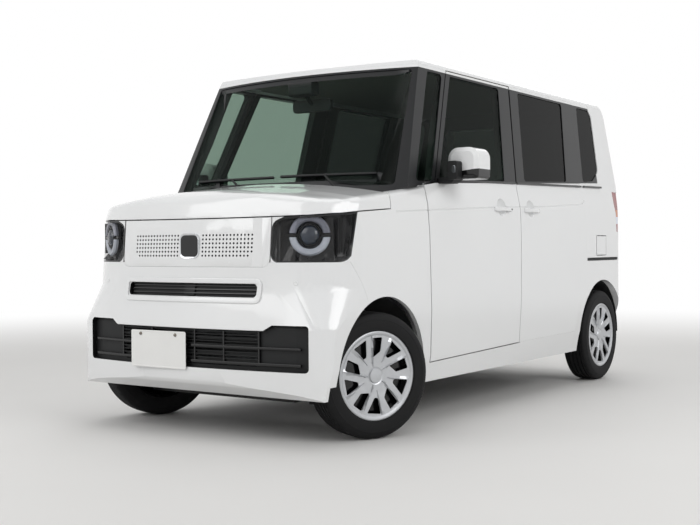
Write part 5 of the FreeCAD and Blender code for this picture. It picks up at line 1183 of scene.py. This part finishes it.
fit(join("rear_wiper_arm", rear_arm, rear_knob), grained, "tailgate")
for side, word in car_sides:
    near, far = sorted((side * 0.45, side * 0.59))
    fit(sheet("reflector_" + word, nodes["rear_bumper"], (near, 0.350), (far, 0.384), 1, 0.005,
              corner=0.008, cuts=9), red_lens, "body", "lamp_red")


# Seats: each cushion, back and head rest is blown up as a stuffed cover
seat_reach = 0.310
rear_reach = 0.295
seat_half = 0.245
rear_seat_half = 0.290
rear_widening = rear_seat_half / seat_half
rear_offset = 0.880
cushion_low, cushion_high = Vector((-seat_half, -0.360, 0.500)), Vector((seat_half, 0.110, 0.630))
back_foot = Vector((0, 0.1103, 0.565))
back_lean = math.radians(14)
lean = Matrix.Translation(back_foot) @ Matrix.Rotation(-back_lean, 4, "X")
pad_inset = 0.014
voxel = 0.010
swell_cap = 0.024


def stuffed(name, low, high, bolster):
    """A pad with raised sides: remeshed, blown up as cloth, held to a cap and smoothed."""
    low, high = Vector(low) + Vector([pad_inset] * 3), Vector(high) - Vector([pad_inset] * 3)
    piece = block(name, low, high)
    for reach in (-bolster, bolster):
        split(piece, (reach, 0, 0), (1, 0, 0))
    modify(piece, "BEVEL", width=0.022, segments=3, limit_method="ANGLE", angle_limit=math.radians(40))
    modify(piece, "REMESH", mode="VOXEL", voxel_size=voxel)
    rest_places = [vertex.co.copy() for vertex in piece.data.vertices]
    only(piece)
    cloth = piece.modifiers.new("Cloth", "CLOTH")
    cloth.settings.use_pressure = True
    cloth.settings.uniform_pressure_force = 4
    cloth.settings.effector_weights.gravity = 0
    for frame_number in range(1, 21):
        bpy.context.scene.frame_set(frame_number)
    bpy.ops.object.modifier_apply(modifier=cloth.name)
    bpy.context.scene.frame_set(1)
    for vertex, rest_place in zip(piece.data.vertices, rest_places):
        move = vertex.co - rest_place
        if move.length > swell_cap:
            vertex.co = rest_place + move * (swell_cap / move.length)
    modify(piece, "SMOOTH", factor=0.5, iterations=3)
    modify(piece, "SUBSURF", levels=1, render_levels=1)
    return coat(smooth(piece, 60), tricot)


cushion = stuffed("cushion", cushion_low, cushion_high, 0.15)
backrest = stuffed("backrest", (-seat_half, 0, 0), (seat_half, 0.115, 0.560), 0.15)
moved(backrest, lean)
head = stuffed("head", (-0.130, 0.025, 0.5603), (0.130, 0.105, 0.7203), 0.08)
moved(head, lean)
for row, reach, offset, widening in (("front", seat_reach, 0, 1),
                                     ("rear", rear_reach, rear_offset, rear_widening)):
    for side, word in car_sides:
        for part, template in (("cushion", cushion), ("back", backrest), ("head", head)):
            wider = Matrix.Scale(1 if part == "head" else widening, 4, (1, 0, 0))
            move = Matrix.Translation((side * reach, offset, 0)) @ wider
            pad = copy_of(template, "_".join((row, word, "seat", part)), move)
            mount(pad, "body", "seat_fabric", "seats")
for template in (cushion, backrest, head):
    bpy.data.objects.remove(template)


# CAD nodes that keep their own shape
for names, item in ((("cowl_panel", "arch_liners", "intake_grilles"), grained),
                    (("floor_pan", "front_rails", "front_subframe", "rear_axle", "fuel_tank",
                      "knuckle_left", "knuckle_right"), chassis),
                    (("engine_block",), cast), (("muffler",), steel), (("seat_bases",), trim)):
    for node in names:
        for slot in nodes[node].material_slots:
            slot.material = item


# Floor, light and camera
floor_reach = 40
fade_near, fade_far = 3.2, 9.0
floor = start("floor", bpy.ops.mesh.primitive_plane_add, size=2 * floor_reach, location=(0, 0, 0))
studio = bpy.data.materials.new("studio_floor")
studio.use_nodes = True
tree = studio.node_tree
tree.nodes.clear()
ground = add(tree, "TexCoord").outputs["Object"]
mist = add(tree, "TexNoise", {"Vector": ground, "Scale": 1 / 0.8})
tone = add(tree, "Mix", {0: mist.outputs["Fac"], 6: linear("#e4e3e1"), 7: linear("#e8e7e5")},
           data_type="RGBA")
matt = add(tree, "BsdfPrincipled", {"Base Color": tone.outputs[2], "Roughness": 0.7})
pale = add(tree, "Emission", {"Color": (1, 1, 1, 1), "Strength": 1})
far_off = add(tree, "VectorMath", {0: ground}, operation="LENGTH")
fade = add(tree, "MapRange", {"Value": far_off.outputs["Value"], "From Min": fade_near,
                              "From Max": fade_far}, interpolation_type="SMOOTHSTEP")


def shown_rays(tree):
    """One for the rays that the eye, a mirror or a pane follows, else nothing."""
    rays = add(tree, "LightPath")
    seen = add(tree, "Math", {0: rays.outputs["Is Camera Ray"], 1: rays.outputs["Is Glossy Ray"]},
               operation="MAXIMUM")
    return add(tree, "Math", {0: seen.outputs["Value"], 1: rays.outputs["Is Transmission Ray"]},
               operation="MAXIMUM").outputs["Value"]


share = add(tree, "Math", {0: fade.outputs["Result"], 1: shown_rays(tree)}, operation="MULTIPLY")
blend = add(tree, "MixShader", {0: share.outputs["Value"], 1: matt.outputs["BSDF"],
                                2: pale.outputs["Emission"]})
add(tree, "OutputMaterial", {"Surface": blend.outputs["Shader"]})
floor.data.materials.append(studio)


def lamp(name, where, aim, size, power):
    """A soft box that faces the car."""
    light = bpy.data.lights.new(name, "AREA")
    light.shape = "RECTANGLE"
    light.size, light.size_y = size
    light.energy = power
    holder = bpy.data.objects.new(name, light)
    bpy.context.scene.collection.objects.link(holder)
    holder.location = where
    holder.rotation_euler = (Vector(aim) - Vector(where)).to_track_quat("-Z", "Y").to_euler()
    return holder


lamp("key_light", (-2.5, -7.5, 5.0), (0, -0.6, 0.8), (6.6, 4.8), 235)
lamp("side_light", (7.5, -1.5, 4.0), (0, 0, 0.8), (5, 3.5), 200)
lamp("top_light", (0, 0, 6.5), (0, 0, 0), (6, 6), 70)
lamp("rear_light", (-3.5, 7.5, 4.5), (0, 0.6, 0.9), (6.6, 4.8), 135)

world = bpy.data.worlds.new("studio")
bpy.context.scene.world = world
world.use_nodes = True
tree = world.node_tree
tree.nodes.clear()
fill = add(tree, "Background", {"Color": (1, 1, 1, 1), "Strength": 0.40})
backdrop = add(tree, "Background", {"Color": (1, 1, 1, 1), "Strength": 1})
both = add(tree, "MixShader", {0: shown_rays(tree), 1: fill.outputs["Background"],
                               2: backdrop.outputs["Background"]})
add(tree, "OutputWorld", {"Surface": both.outputs["Shader"]})

camera_place = (3.346, -5.269, 0.849)
camera_turn = math.radians(34.48)
camera_drop = math.radians(0.89)
camera_roll = math.radians(-0.39)
camera_lens = 56.84
back = Vector((math.sin(camera_turn) * math.cos(camera_drop),
               -math.cos(camera_turn) * math.cos(camera_drop), math.sin(camera_drop)))
right = upward.cross(back).normalized()
up = back.cross(right)
axes = (right * math.cos(camera_roll) + up * math.sin(camera_roll),
        up * math.cos(camera_roll) - right * math.sin(camera_roll), back)
camera = bpy.data.objects.new("camera", bpy.data.cameras.new("camera"))
bpy.context.scene.collection.objects.link(camera)
camera.matrix_world = Matrix.Translation(camera_place) @ Matrix(axes).transposed().to_4x4()
camera.data.sensor_width = 36
camera.data.lens = camera_lens
camera.data.clip_end = 100
bpy.context.scene.camera = camera
bpy.context.scene.view_settings.view_transform = "Standard"
